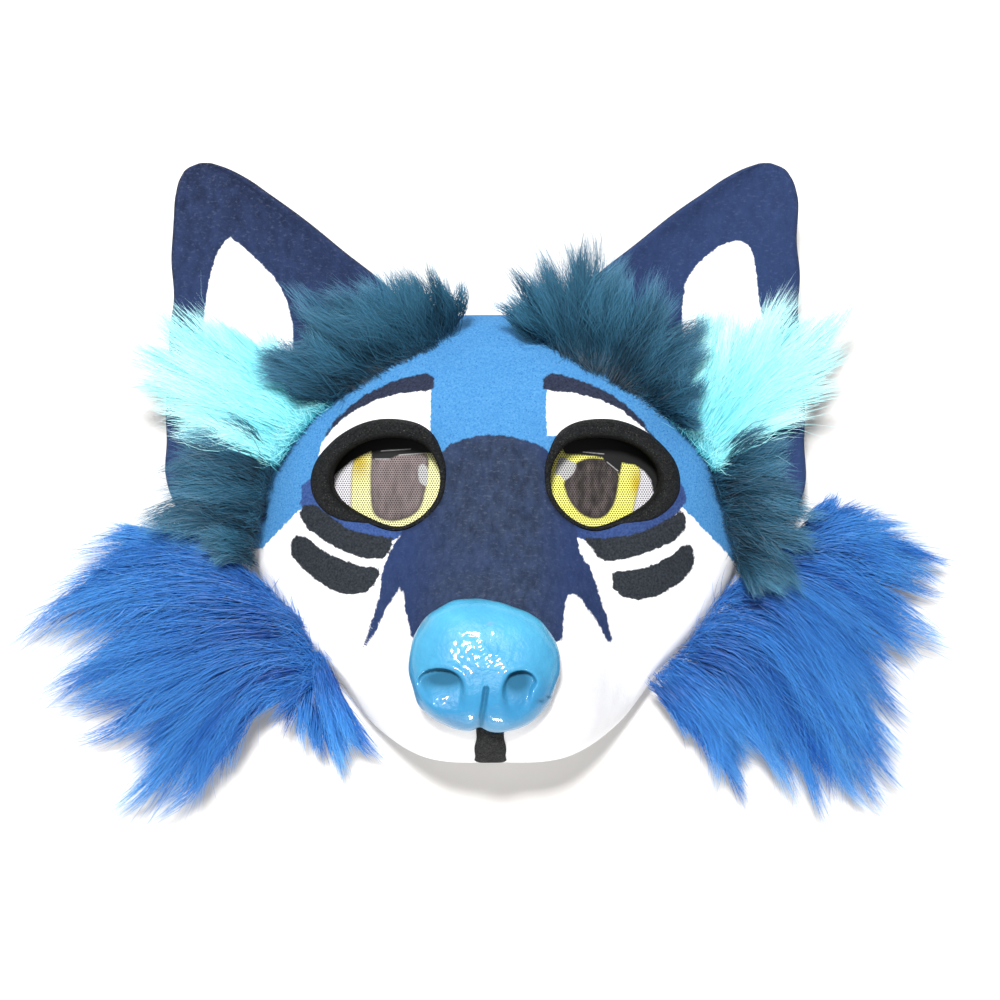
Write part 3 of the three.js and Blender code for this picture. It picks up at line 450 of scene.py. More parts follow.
class Look:
    """A material and short ways to wire its nodes."""

    def __init__(self, name, roughness, specular):
        self.material = bpy.data.materials.new(name)
        self.material.use_nodes = True
        self.tree = self.material.node_tree
        self.shader = self.tree.nodes["Principled BSDF"]
        self.set("Roughness", roughness)
        self.set("Specular IOR Level", specular)
        self.places = self.node("ShaderNodeTexCoord").outputs["Object"]

    def feed(self, socket, value):
        if isinstance(value, bpy.types.NodeSocket):
            self.tree.links.new(value, socket)
        else:
            socket.default_value = value

    def set(self, name, value):
        self.feed(self.shader.inputs[name], value)

    def node(self, kind, inputs=None, **settings):
        made = self.tree.nodes.new(kind)
        for key, value in settings.items():
            setattr(made, key, value)
        for key, value in (inputs or {}).items():
            self.feed(made.inputs[key], value)
        return made

    def value(self, name):
        return self.node("ShaderNodeAttribute", attribute_name=name).outputs["Fac"]

    def parts(self, vector):
        return self.node("ShaderNodeSeparateXYZ", {0: vector}).outputs

    def noise(self, scale, detail=3.0, roughness=0.55, stretch=None):
        places = self.places
        if stretch:
            places = self.node("ShaderNodeMapping", {"Vector": places, "Scale": stretch}).outputs["Vector"]
        inputs = {"Vector": places, "Scale": scale, "Detail": detail, "Roughness": roughness}
        return self.node("ShaderNodeTexNoise", inputs).outputs["Fac"]

    def sum(self, operation, *values, clamp=False):
        inputs = dict(enumerate(values))
        return self.node("ShaderNodeMath", inputs, operation=operation, use_clamp=clamp).outputs[0]

    def times(self, a, b):
        return self.sum("MULTIPLY", a, b)

    def blend(self, share, low, high):
        inputs = {0: share, 6: low, 7: high}
        return self.node("ShaderNodeMix", inputs, data_type="RGBA", clamp_factor=True).outputs[2]

    def over(self, base, share, colour, most=None):
        """The base with a colour laid over it by a share, or by that much of the share."""
        return self.blend(share if most is None else self.times(share, most), base, colour)

    def ramp(self, share, stops):
        made = self.node("ShaderNodeValToRGB", {"Fac": share})
        elements = made.color_ramp.elements
        while len(elements) < len(stops):
            elements.new(0.5)
        for element, (place, tone) in zip(elements, stops):
            element.position = place
            element.color = shade(*tone)
        return made.outputs["Color"]

    def spread(self, share, low, high):
        inputs = {"Value": share, "From Min": low, "From Max": high}
        return self.node("ShaderNodeMapRange", inputs).outputs["Result"]

    def patches(self, scale, detail, roughness, low, high, stretch=None):
        """Noise drawn out so that it goes from 0 at a low value to 1 at a high one."""
        return self.spread(self.noise(scale, detail, roughness, stretch), low, high)

    def wander(self, noise, reach):
        """How far a painted edge strays, in millimetres."""
        return self.times(self.sum("SUBTRACT", noise, 0.5), reach)

    def inside(self, name, ragged, soft=0.25):
        """1 inside an outline kept in an attribute, in millimetres, with a slightly ragged edge."""
        return self.spread(self.sum("ADD", self.value(name), ragged), soft, -soft)

    def painted(self, base, name, ragged, colour, soft=0.25):
        return self.over(base, self.inside(name, ragged, soft), colour)

    def finish(self, base, height=None, bump=0.0, distance=0.0):
        self.set("Base Color", base)
        if height is not None:
            inputs = {"Height": height, "Strength": bump, "Distance": distance}
            self.set("Normal", self.node("ShaderNodeBump", inputs).outputs["Normal"])
        return self.material


# Materials; noise scales are per metre, and heights of bumps are in metres
SEEN_LIGHT = 1.85  # how brightly a white sheet is lit, where 1 just fills the picture's white
WHITE = (0.95, 0.95, 0.96, 1.0)
NET_PITCH = 0.00088
NET_ROWS = 1.732  # the height of a cell of the net, in pitches


def felt_relief(look, fine=900.0, coarse=260.0):
    grain = look.noise(fine, 4.0, 0.7)
    clumps = look.noise(coarse, 3.0, 0.6)
    return look.sum("ADD", look.times(grain, 0.6), look.times(clumps, 0.5))


def face_paint():
    look = Look("painted_face", 0.92, 0.15)
    wobble = look.wander(look.noise(420, 4, 0.7), 2.2)
    grain = look.patches(1300, 3, 0.75, 0.34, 0.64)
    speck = look.patches(1900, 2, 0.6, 0.6, 0.7)
    cloud = look.patches(55, 4, 0.6, 0.3, 0.7)
    sky = look.blend(grain, seen(72, 156, 232), seen(112, 190, 252))
    sky = look.over(sky, cloud, seen(82, 158, 230), 0.35)
    sky = look.over(sky, speck, seen(30, 98, 180), 0.7)
    white = look.over(WHITE, cloud, shade(236, 237, 242), 0.4)
    base = look.painted(sky, "white_low", wobble, white)
    base = look.painted(base, "brow_patch", wobble, WHITE)
    ink = look.blend(grain, seen(40, 46, 66), seen(66, 74, 100))
    base = look.painted(base, "brow_strip", wobble, ink)
    across = look.parts(look.places)[0]
    band_left = look.blend(grain, seen(54, 82, 146), seen(82, 116, 186))
    band = look.blend(grain, seen(50, 74, 132), seen(76, 104, 168))
    band = look.over(band, look.spread(across, 0.001, -0.001), band_left)
    base = look.painted(base, "band", wobble, band)
    streak = look.patches(240, 5, 0.7, 0.35, 0.7, stretch=(1.6, 0.8, 1.0))
    bridge = look.blend(streak, seen(46, 58, 82), seen(70, 86, 120))
    fibre = look.patches(1000, 5, 0.75, 0.54, 0.72, stretch=(0.6, 1.2, 1.0))
    bridge = look.over(bridge, fibre, seen(124, 134, 152), 0.55)
    bridge = look.over(bridge, look.patches(38, 3, 0.6, 0.45, 0.65), seen(54, 80, 140), 0.25)
    flank = look.spread(look.sum("ABSOLUTE", look.sum("ADD", across, 0.002)), 0.016, 0.027)
    bridge = look.over(bridge, flank, seen(52, 78, 142), 0.5)
    base = look.painted(base, "bridge", wobble, bridge)
    coal = look.blend(grain, seen(38, 43, 50), seen(68, 74, 82))
    base = look.painted(base, "stripes", wobble, coal)
    return look.finish(base, felt_relief(look), 0.35, 0.0006)


def raw_foam():
    look = Look("raw_foam", 0.95, 0.2)
    pores = look.noise(700, 4, 0.7)
    base = look.ramp(pores, [(0.3, (190, 190, 192)), (0.7, (230, 230, 230))])
    return look.finish(base, pores, 0.5, 0.0008)


def ear_paint():
    look = Look("painted_ear", 0.9, 0.15)
    wobble = look.wander(look.noise(420, 4, 0.7), 2.0)
    streak = look.patches(300, 5, 0.72, 0.3, 0.72, stretch=(1.0, 0.6, 1.0))
    navy = look.blend(streak, seen(34, 44, 72), seen(58, 74, 118))
    fibre = look.patches(1000, 5, 0.75, 0.54, 0.72, stretch=(0.6, 1.1, 1.0))
    navy = look.over(navy, fibre, seen(112, 124, 158), 0.65)
    rubbed = look.blend(look.patches(500, 3, 0.7, 0.45, 0.6), seen(28, 32, 46), seen(96, 102, 120))
    navy = look.painted(navy, "worn_edge", wobble, rubbed, 0.7)
    across, up, _ = look.parts(look.places)
    navy = look.over(navy, look.spread(up, 0.12, 0.06), seen(62, 88, 142), 0.5)
    navy = look.over(navy, look.spread(across, 0.0, 0.02), seen(62, 90, 148), 0.35)
    grain = look.patches(1300, 3, 0.75, 0.35, 0.7)
    white = look.over(WHITE, grain, shade(236, 236, 242), 0.3)
    base = look.painted(navy, "white_low", wobble, white)
    return look.finish(base, felt_relief(look, 1100, 330), 0.5, 0.0007)


def black_foam(name, fibre):
    look = Look(name, 0.9, 0.2)
    grain = look.patches(1100, 4, 0.75, 0.35, 0.68)
    base = look.blend(grain, seen(24, 26, 28), fibre)
    base = look.over(base, look.patches(2100, 2, 0.6, 0.62, 0.72), seen(150, 148, 138), 0.8)
    # painted shade on the lid's sleeve and on the foam's edge over the eye
    base = look.over(base, look.value("lid_shade"), seen(12, 14, 19))
    height = look.sum("ADD", look.noise(520, 4, 0.7), look.times(grain, 0.5))
    return look.finish(base, height, 1.0, 0.0016)


def cast_nose():
    look = Look("cast_nose", 0.5, 0.3)
    cloud = look.patches(90, 4, 0.6, 0.3, 0.7)
    # painted light: the nose is lighter towards its top, which faces the key lamp, and darker lower down
    rising = look.spread(look.parts(look.places)[1], -0.052, -0.026)
    shaded_blue = look.blend(cloud, (0.024, 0.2, 0.41, 1.0), (0.036, 0.26, 0.48, 1.0))
    lit_blue = look.blend(cloud, (0.05, 0.31, 0.52, 1.0), (0.076, 0.39, 0.6, 1.0))
    # painted shade in the nostrils, the slot below them and the cracks
    shaded_hollow = look.value("shaded_hollow")
    base = look.over(look.blend(rising, shaded_blue, lit_blue), shaded_hollow, (0.016, 0.11, 0.2, 1.0))
    base = look.over(base, look.value("worn"), seen(150, 190, 214), 0.6)
    # the gloss ends in the hollows
    shut = look.sum("SUBTRACT", 1.0, shaded_hollow, clamp=True)
    look.set("Coat Weight", look.times(shut, 0.6))
    look.set("Coat Roughness", 0.06)
    look.set("Roughness", look.sum("SUBTRACT", 0.85, look.times(shut, 0.4)))
    height = look.sum("ADD", look.noise(300, 3, 0.5), look.times(look.noise(900, 3, 0.6), 0.5))
    return look.finish(base, height, 0.42, 0.001)


def net_holes(look):
    """1 in the fine holes of a hexagonal net, 0 on the net between them."""
    across, up, _ = look.parts(look.places)
    near = None
    for shift in (0.0, 0.5):
        column = look.sum("ADD", look.sum("DIVIDE", across, NET_PITCH), shift)
        row = look.sum("ADD", look.sum("DIVIDE", up, NET_PITCH * NET_ROWS), shift)
        dx = look.sum("SUBTRACT", look.sum("FRACT", column), 0.5)
        dy = look.times(look.sum("SUBTRACT", look.sum("FRACT", row), 0.5), NET_ROWS)
        away = look.sum("SQRT", look.sum("ADD", look.times(dx, dx), look.times(dy, dy)))
        near = away if near is None else look.sum("MINIMUM", near, away)
    return look.spread(near, 0.4, 0.28)


def eye_print():
    look = Look("eye_print", 0.6, 0.3)
    soft = look.wander(look.noise(500, 2), 0.4)
    iris = look.inside("iris", soft, 0.3)
    yellow = look.blend(look.value("rich"), (0.9, 0.88, 0.43, 1.0), (0.93, 0.9, 0.2, 1.0))
    base = look.blend(iris, (0.76, 0.74, 0.78, 1.0), yellow)
    base = look.over(base, look.times(iris, look.value("amber")), (0.66, 0.48, 0.03, 1.0), 0.95)
    line = look.spread(look.sum("ABSOLUTE", look.value("iris")), 0.5, 0.2)
    base = look.over(base, line, seen(170, 140, 70), 0.35)
    mottle = look.patches(420, 4, 0.6, 0.3, 0.7, stretch=(1.0, 0.35, 1.0))
    # random mottle and painted sheen make the pupil paler
    paleness = look.sum("MULTIPLY_ADD", mottle, 0.4, look.value("pale"))
    pupil = look.blend(paleness, seen(44, 38, 36), seen(206, 186, 186))
    edge = look.spread(look.sum("ABSOLUTE", look.value("pupil")), 1.3, 0.2)
    pupil = look.over(pupil, edge, seen(70, 58, 54), 0.45)
    base = look.painted(base, "pupil", soft, pupil, 0.4)
    base = look.painted(base, "glint", soft, seen(255, 255, 255))
    holes = net_holes(look)
    # painted shade: the holes are dark with the unlit inside of the mask seen through them
    base = look.over(base, holes, look.blend(0.86, base, seen(24, 18, 16)))
    # the print's dark top line and the lid's painted shadow over the mesh
    base = look.painted(base, "lid_shadow_and_print", soft, seen(20, 20, 22), 0.3)
    # painted highlights: thin white lines where the mesh's top edge catches the light
    base = look.painted(base, "edge_glint", 0.0, seen(220, 220, 220), 0.1)
    return look.finish(base, holes, -0.3, 0.0003)


def fur_look(name, dark_stops, light_stops):
    """Fur whose colour follows its map: across from dark strands to light ones, up from root to tip."""
    look = Look(name, 0.5, 0.3)
    across, up, _ = look.parts(look.node("ShaderNodeUVMap", uv_map=BAKE_MAP).outputs["UV"])
    return look.finish(look.blend(across, look.ramp(up, dark_stops), look.ramp(up, light_stops)))


# Camera, floor and light
SENSOR_WIDTH = 36.0
FLOOR_REACH = 3000.0
scene = bpy.context.scene
camera_data = bpy.data.cameras.new("camera")
camera_data.sensor_width = SENSOR_WIDTH
camera_data.lens = SENSOR_WIDTH * (VIEW[2] - VIEW_LEVEL) / VIEW_WIDTH
camera = bpy.data.objects.new("camera", camera_data)
camera.location = VIEW * MM
scene.collection.objects.link(camera)
scene.camera = camera
scene.view_settings.view_transform = "Standard"

floor_corners = np.array([(-1, -1, 0), (1, -1, 0), (1, 1, 0), (-1, 1, 0)]) * FLOOR_REACH
floor = add_mesh("floor", floor_corners, [(0, 1, 2, 3)])
floor.data.materials.append(Look("floor_paper", 0.9, 0.1).finish((0.78, 0.765, 0.745, 1.0)))

world = bpy.data.worlds.new("studio")
world.use_nodes = True
background = world.node_tree.nodes["Background"]
background.inputs["Color"].default_value = (1.0, 0.985, 0.965, 1.0)
background.inputs["Strength"].default_value = 0.44
scene.world = world


def soft_light(name, place, size, power):
    """A square lamp that faces the origin; places and sizes are in metres."""
    data = bpy.data.lights.new(name, "AREA")
    data.size = size
    data.energy = power
    lamp = bpy.data.objects.new(name, data)
    lamp.location = place
    aim = np.array(place) / -np.linalg.norm(place)
    lamp.rotation_euler = (math.acos(-aim[2]), 0, math.atan2(aim[1], aim[0]) - QUARTER)
    scene.collection.objects.link(lamp)


soft_light("key", (-0.09, 0.41, 1.1), 0.16, 19.3)
soft_light("fill", (0.02, -1.15, 0.26), 0.2, 7.0)


# The face shell
def eye_edge(side, margin, count=160):
    """The eye's edge in plan, moved outwards by a margin, from the inner corner over the top."""
    even = closed_curve(np.array(EYE_ROWS) * [EYE_WIDTH / 2, EYE_HEIGHT / 2], count)
    tangent = np.roll(even, -1, 0) - np.roll(even, 1, 0)
    tangent /= np.linalg.norm(tangent, axis=1, keepdims=True)
    moved = even + np.stack([-tangent[:, 1], tangent[:, 0]], -1) * margin
    return np.stack([side * (EYE_SPACING / 2 + moved[:, 0]), EYE_UP + moved[:, 1]], -1)


PICTURE_MIRROR = 977  # a marking and its mirror image add up to this across the picture


def mirrored(outline):
    return [(PICTURE_MIRROR - x, y) for x, y in outline]


MARKINGS = {
    "white_low": [LOW_WHITE],
    "brow_patch": [BROW_PATCH_LEFT, mirrored(BROW_PATCH_LEFT)],
    "brow_strip": [BROW_STRIP_LEFT, mirrored(BROW_STRIP_LEFT)],
    "band": [BAND_LEFT, BAND_RIGHT],
    "bridge": [BRIDGE],
    "stripes": [STRIPE_ONE_LEFT, STRIPE_TWO_LEFT, STRIPE_ONE_RIGHT, STRIPE_TWO_RIGHT],
}


def on_paint(points):
    """Plan places of points of the picture, on the level of the painted outlines."""
    return from_picture(points, PAINT_LEVEL)


def outline_distance(seen_at, *outlines):
    """Distance from the nearest outline of the picture, below zero inside."""
    return np.min([signed_distance(seen_at, on_paint(outline)) for outline in outlines], axis=0)


def make_face():
    turns, rings = 340, 90
    turn = np.linspace(0, 2 * math.pi, turns, endpoint=False)
    lift = np.linspace(0, QUARTER, rings, endpoint=False)
    lift_grid, turn_grid = np.meshgrid(lift, turn, indexing="ij")
    points = face_offset(turn_grid, lift_grid, np.zeros_like(lift_grid)).reshape(-1, 3)
    points = np.vstack([points, [*POLE, crown(*POLE)]])
    quads = grid_quads(rings, turns, closed_columns=True)
    fan = fan_tris((rings - 1) * turns, turns, len(points) - 1)
    openings = [eye_edge(side, SLEEVE_WALL + SEAT_GAP, 400) for side in (-1, 1)]
    away = np.min([signed_distance(points[:, :2], opening) for opening in openings], axis=0)
    quads = quads[away[quads].mean(1) > 0]
    # the corners left along the openings are drawn onto their edges
    ends = np.sort(np.stack([quads, np.roll(quads, -1, 1)], -1).reshape(-1, 2), 1)
    pairs, uses = np.unique(ends, axis=0, return_counts=True)
    edge = np.concatenate(openings)
    farthest = 4  # of such a corner, in millimetres; the rim's corners are farther away
    for i in np.unique(pairs[uses == 1]):
        if abs(away[i]) < farthest:
            spot = edge[np.argmin(np.linalg.norm(edge - points[i, :2], axis=1))]
            points[i] = [*spot, face_height(*spot)]
    # the felt is uneven, but not at the rim
    uneven = 0.3 * lumps(points, 22, 5) + 0.12 * lumps(points, 7, 6)
    points[:, 2] += np.where(points[:, 2] < 0.5, 0, uneven * np.clip(points[:, 2] / 10, 0, 1))
    piece = add_mesh("painted_shell", points, quads, fan)
    seen_at = as_painted(points)
    for name, outlines in MARKINGS.items():
        keep_value(piece, name, outline_distance(seen_at, *outlines))
    wall = piece.modifiers.new("wall", "SOLIDIFY")
    wall.thickness = SHELL_WALL * MM
    wall.offset = -1.0
    wall.material_offset = 1
    wall.material_offset_rim = 1
    dress(piece, "face_shell", "painted_felt", face_paint(), raw_foam())


make_face()
FOAM = black_foam("black_foam", seen(70, 72, 74))


# The eyes
def mesh_plane(side):
    centre = side * EYE_SPACING / 2
    half_x, half_y = EYE_WIDTH / 2, EYE_HEIGHT / 2
    slope_x = (face_height(centre + half_x, EYE_UP) - face_height(centre - half_x, EYE_UP)) / EYE_WIDTH
    slope_y = (face_height(centre, EYE_UP + half_y) - face_height(centre, EYE_UP - half_y)) / EYE_HEIGHT
    middle = face_height(centre, EYE_UP) - EYE_RECESS
    return lambda x, y: middle + slope_x * (x - centre) + slope_y * (y - EYE_UP)


# away from the eye's edge as a share of the width, height as a share of the rise
LID_SECTION = [
    (0, 0.3), (0.03, 0.55), (0.12, 0.78), (0.24, 0.92), (0.38, 1), (0.52, 1), (0.66, 0.93), (0.8, 0.78),
    (0.92, 0.5), (1, 0.12),
]
LID_SEAT = 0.05  # how far the lid's underside stands off the face


def make_lid(side, label):
    count = 240
    plane = mesh_plane(side)
    inner = eye_edge(side, 0, count)
    outward = eye_edge(side, 1, count) - inner
    around = np.arange(count) / count
    width = LID_WIDTH * smooth_read(LID_ROWS, 1, around) + SLEEVE_WALL
    rise = LID_RISE * smooth_read(LID_ROWS, 2, around)
    sleeve = inner + outward * SLEEVE_WALL

    def over_face(plan, height):
        return np.column_stack([plan, face_height(*plan.T) + height])

    rows = [over_face(inner + outward * (away * width)[:, None], high * rise) for away, high in LID_SECTION]
    rows += [over_face(plan, LID_SEAT) for plan in (inner + outward * width[:, None], sleeve)]
    rows += [np.column_stack([plan, plane(*plan.T) + SEAT_GAP]) for plan in (sleeve, inner)]
    points = np.array(rows).reshape(-1, 3)
    foam = points[: count * len(LID_SECTION)]
    foam[:, 2] += 0.2 * lumps(foam, 4, 11 + side) + 0.14 * lumps(foam, 1.6, 13 + side, 30)
    quads = grid_quads(len(rows), count, closed_columns=True, closed_rows=True)
    if side < 0:
        quads = quads[:, ::-1]
    piece = add_mesh("eyelid_" + label, points, quads)
    # painted shade: no light reaches the sleeve and the foam's edge over the eye, so they are painted darker
    lid_shade = np.zeros((len(rows), count))
    lid_shade[:3] = [[1], [0.8], [0.35]]
    lid_shade[-2:] = 1
    keep_value(piece, "lid_shade", lid_shade.ravel())
    dress(piece, "eye_rim_" + label, "black_foam", FOAM)


# The print on the left and the right mesh as seen in the picture, with painted shade and painted highlights
# over it
IRISES = {
    "left": [(354, 420), (354, 459), (352, 472), (351, 509), (351, 550), (460, 550), (460, 420)],
    "right": [(530, 420), (530, 550), (632, 550), (633, 510), (640, 480), (640, 471), (634, 420)],
}
PUPILS = {
    "left": [
        (371, 464), (371, 500), (375, 515), (390, 521), (410, 517), (420, 508), (425, 493), (427, 478),
        (427, 455), (400, 450), (373, 454),
    ],
    "right": [
        (564, 482), (571, 473), (575, 464), (590, 458), (606, 460), (616, 468), (619, 476), (617.5, 490),
        (614, 504), (605, 516), (595, 519), (582.5, 515), (572.5, 505), (566, 492.5),
    ],
}
GLINTS = {
    "left": [(419, 466), (420, 482), (426, 486), (428, 478), (427, 467), (423, 464)],
    "right": [(560, 457), (569, 460), (576, 464), (574, 472), (565, 480), (559, 475), (556, 475)],
}
# black at the top of each mesh: the print's dark line and the painted shadow of the lid
LID_SHADOWS_AND_PRINT = {
    "left": [
        (310, 484), (325, 480), (333, 478), (336, 474), (351, 461), (371, 451), (372, 459), (390, 459),
        (399, 455), (427, 453), (433, 453), (446, 440), (446, 400), (310, 400),
    ],
    "right": [
        (540, 436), (553, 440), (560, 445), (565, 454), (581, 455), (602, 457.5), (607.5, 465), (615, 470),
        (620, 475), (622, 463), (635, 465), (644, 471), (651, 480), (653, 492), (680, 492), (680, 400),
        (540, 400),
    ],
}
# thin lines of painted highlight along the top edge of each mesh
EDGE_GLINTS = {
    "left": [[(375, 459), (390, 459)], [(381, 451), (411, 449)], [(399, 455), (427, 453)]],
    "right": [[(583, 452), (604, 454)], [(607, 462), (618, 471)]],
}
# across, up, half width, half height
AMBERS = {"left": (359, 464, 11, 14), "right": (637, 484, 6, 15)}
# painted sheen on the left pupil; the right one is darker overall
PALE = {"left": 0.44, "right": -0.1}  # how pale the pupil is
RICH = {"left": 0.0, "right": 1.0}  # how rich the iris's yellow is
PUPIL_FOOT = (400, 520)
PUPIL_TOP = (400, 455)
EDGE_GLINT_HALF = 0.16


def line_distance(points, start, end):
    start, way = np.asarray(start), np.asarray(end) - start
    share = np.clip((points - start) @ way / max(way @ way, 1e-9), 0, 1)
    return np.linalg.norm(points - start - share[:, None] * way, axis=1)


def make_sight_mesh(side, label):
    around, steps = 200, 56
    plane = mesh_plane(side)
    edge = eye_edge(side, SLEEVE_WALL, around)
    centre = np.array([side * EYE_SPACING / 2, EYE_UP])
    shares = np.linspace(1, 0, steps, endpoint=False)
    plan = np.concatenate([centre + (edge - centre) * share for share in shares] + [centre[None]])
    front = np.column_stack([plan, plane(*plan.T)])
    base, last = len(front), (steps - 1) * around
    points = np.vstack([front, front[:around] - [0, 0, MESH_THICK], front[-1:] - [0, 0, MESH_THICK]])
    front_quads = grid_quads(steps, around, closed_columns=True)
    ring = np.arange(around)
    ahead = np.roll(ring, -1)
    quads = np.vstack([front_quads, np.stack([base + ring, base + ahead, ahead, ring], -1)])
    back_fan = fan_tris(base, around, len(points) - 1, turned=True)
    fans = np.vstack([fan_tris(last, around, base - 1), back_fan])
    if side > 0:
        quads, fans = quads[:, ::-1], fans[:, ::-1]
    piece = add_mesh("eye_print_" + label, points, quads, fans)
    seen_at = as_painted(points)
    pupil = signed_distance(seen_at, closed_curve(on_paint(PUPILS[label]), 120))
    keep_value(piece, "pupil", pupil)
    keep_value(piece, "iris", outline_distance(seen_at, IRISES[label]))
    keep_value(piece, "lid_shadow_and_print", outline_distance(seen_at, LID_SHADOWS_AND_PRINT[label]))
    keep_value(piece, "glint", signed_distance(seen_at, closed_curve(on_paint(GLINTS[label]), 60)))
    # painted highlights along the mesh's top edge
    edge_glint_gaps = [line_distance(seen_at, *on_paint(edge_glint)) for edge_glint in EDGE_GLINTS[label]]
    keep_value(piece, "edge_glint", np.min(edge_glint_gaps, axis=0) - EDGE_GLINT_HALF)
    across, up, wide, tall = AMBERS[label]
    away = (seen_at - on_paint((across, up))) / (np.array([wide, tall]) * picture_scale(PAINT_LEVEL))
    keep_value(piece, "amber", np.exp(-(away**2).sum(1)))
    keep_value(piece, "rich", np.full(len(points), RICH[label]))
    # painted sheen: the pupil is paler towards its top and along an arc inside its edge
    low, high = on_paint([PUPIL_FOOT, PUPIL_TOP])[:, 1]
    rising = np.clip((seen_at[:, 1] - low) / (high - low), 0, 1)
    arc = 0.1 * np.exp(-(((pupil + 3.4) / 1.1) ** 2))
    keep_value(piece, "pale", PALE[label] * (0.65 + 0.45 * rising) + arc)
    dress(piece, "eye_mesh_" + label, "sight_mesh", PRINT)
    tilts = np.array([plane(1, 0) - plane(0, 0), plane(0, 1) - plane(0, 0)])
    area = one_side(front, front_quads)


PRINT = eye_print()
for eye_side, eye_label in ((-1, "left"), (1, "right")):
    make_lid(eye_side, eye_label)
    make_sight_mesh(eye_side, eye_label)

# The nose: its outline seen from the front, in the picture's units
NOSE_OUTLINE = [
    (472, 600), (449, 603), (430, 614), (415, 634), (409, 652), (408, 668), (411, 687), (419, 706),
    (435, 721), (456, 730), (470, 732), (480, 728), (490, 732), (502, 733), (519, 730), (534, 721),
    (549, 705), (557, 687), (561, 667), (559, 649), (548, 630), (533, 616), (511, 606), (490, 601),
]
NOSTRILS = [
    [
        (416, 680), (423, 672), (436, 668), (451, 670), (462, 678), (466, 692), (463, 714), (450, 716),
        (430, 707), (419, 693),
    ],
    [
        (505, 679), (510, 673), (523, 670), (533, 674), (538, 683), (534, 692), (532, 705), (520, 722),
        (508, 722), (502, 705), (501, 690),
    ],
]
# where painted shade darkens each nostril: across, up, half width, half height
NOSTRIL_DARKS = [(444, 680, 22, 8), (517, 682, 14, 12)]
NOSE_CENTRE = (484, 668)
NOSE_SLOT = [(486, 689), (480, 733)]
# Mounds as seen in the picture: height in millimetres or share, across, up, half width, half height
NOSE_SWELLS = [
    (2.0, 484, 696, 64, 40), (0.4, 482, 664, 60, 14), (2.3, 437, 716, 20, 13), (0.7, 532, 706, 20, 15),
    (4.0, 424, 703, 14, 16),
]
NOSE_CRACKS = [(1, 541, 701, 4, 1.5), (1, 549, 697, 3, 1.3)]
NOSE_DENTS = [(0.2, 469, 637, 5, 3), (0.5, 421, 619, 8, 7)]
NOSE_SPARKLES = [(1, 482, 657, 32, 11), (1, 436, 704, 16, 13)]
NOSE_WORN = [(1, 421, 619, 9, 8), (1, 490, 624, 3, 2)]
NOSE_LEVEL = MUZZLE_DEPTH + 8  # where most of the nose's front lies
NOSE_EDGE_LEVEL = MUZZLE_DEPTH + 3  # where the nose is widest
NOSE_FOOT = 13.0  # how far the nose's side reaches in under its widest line


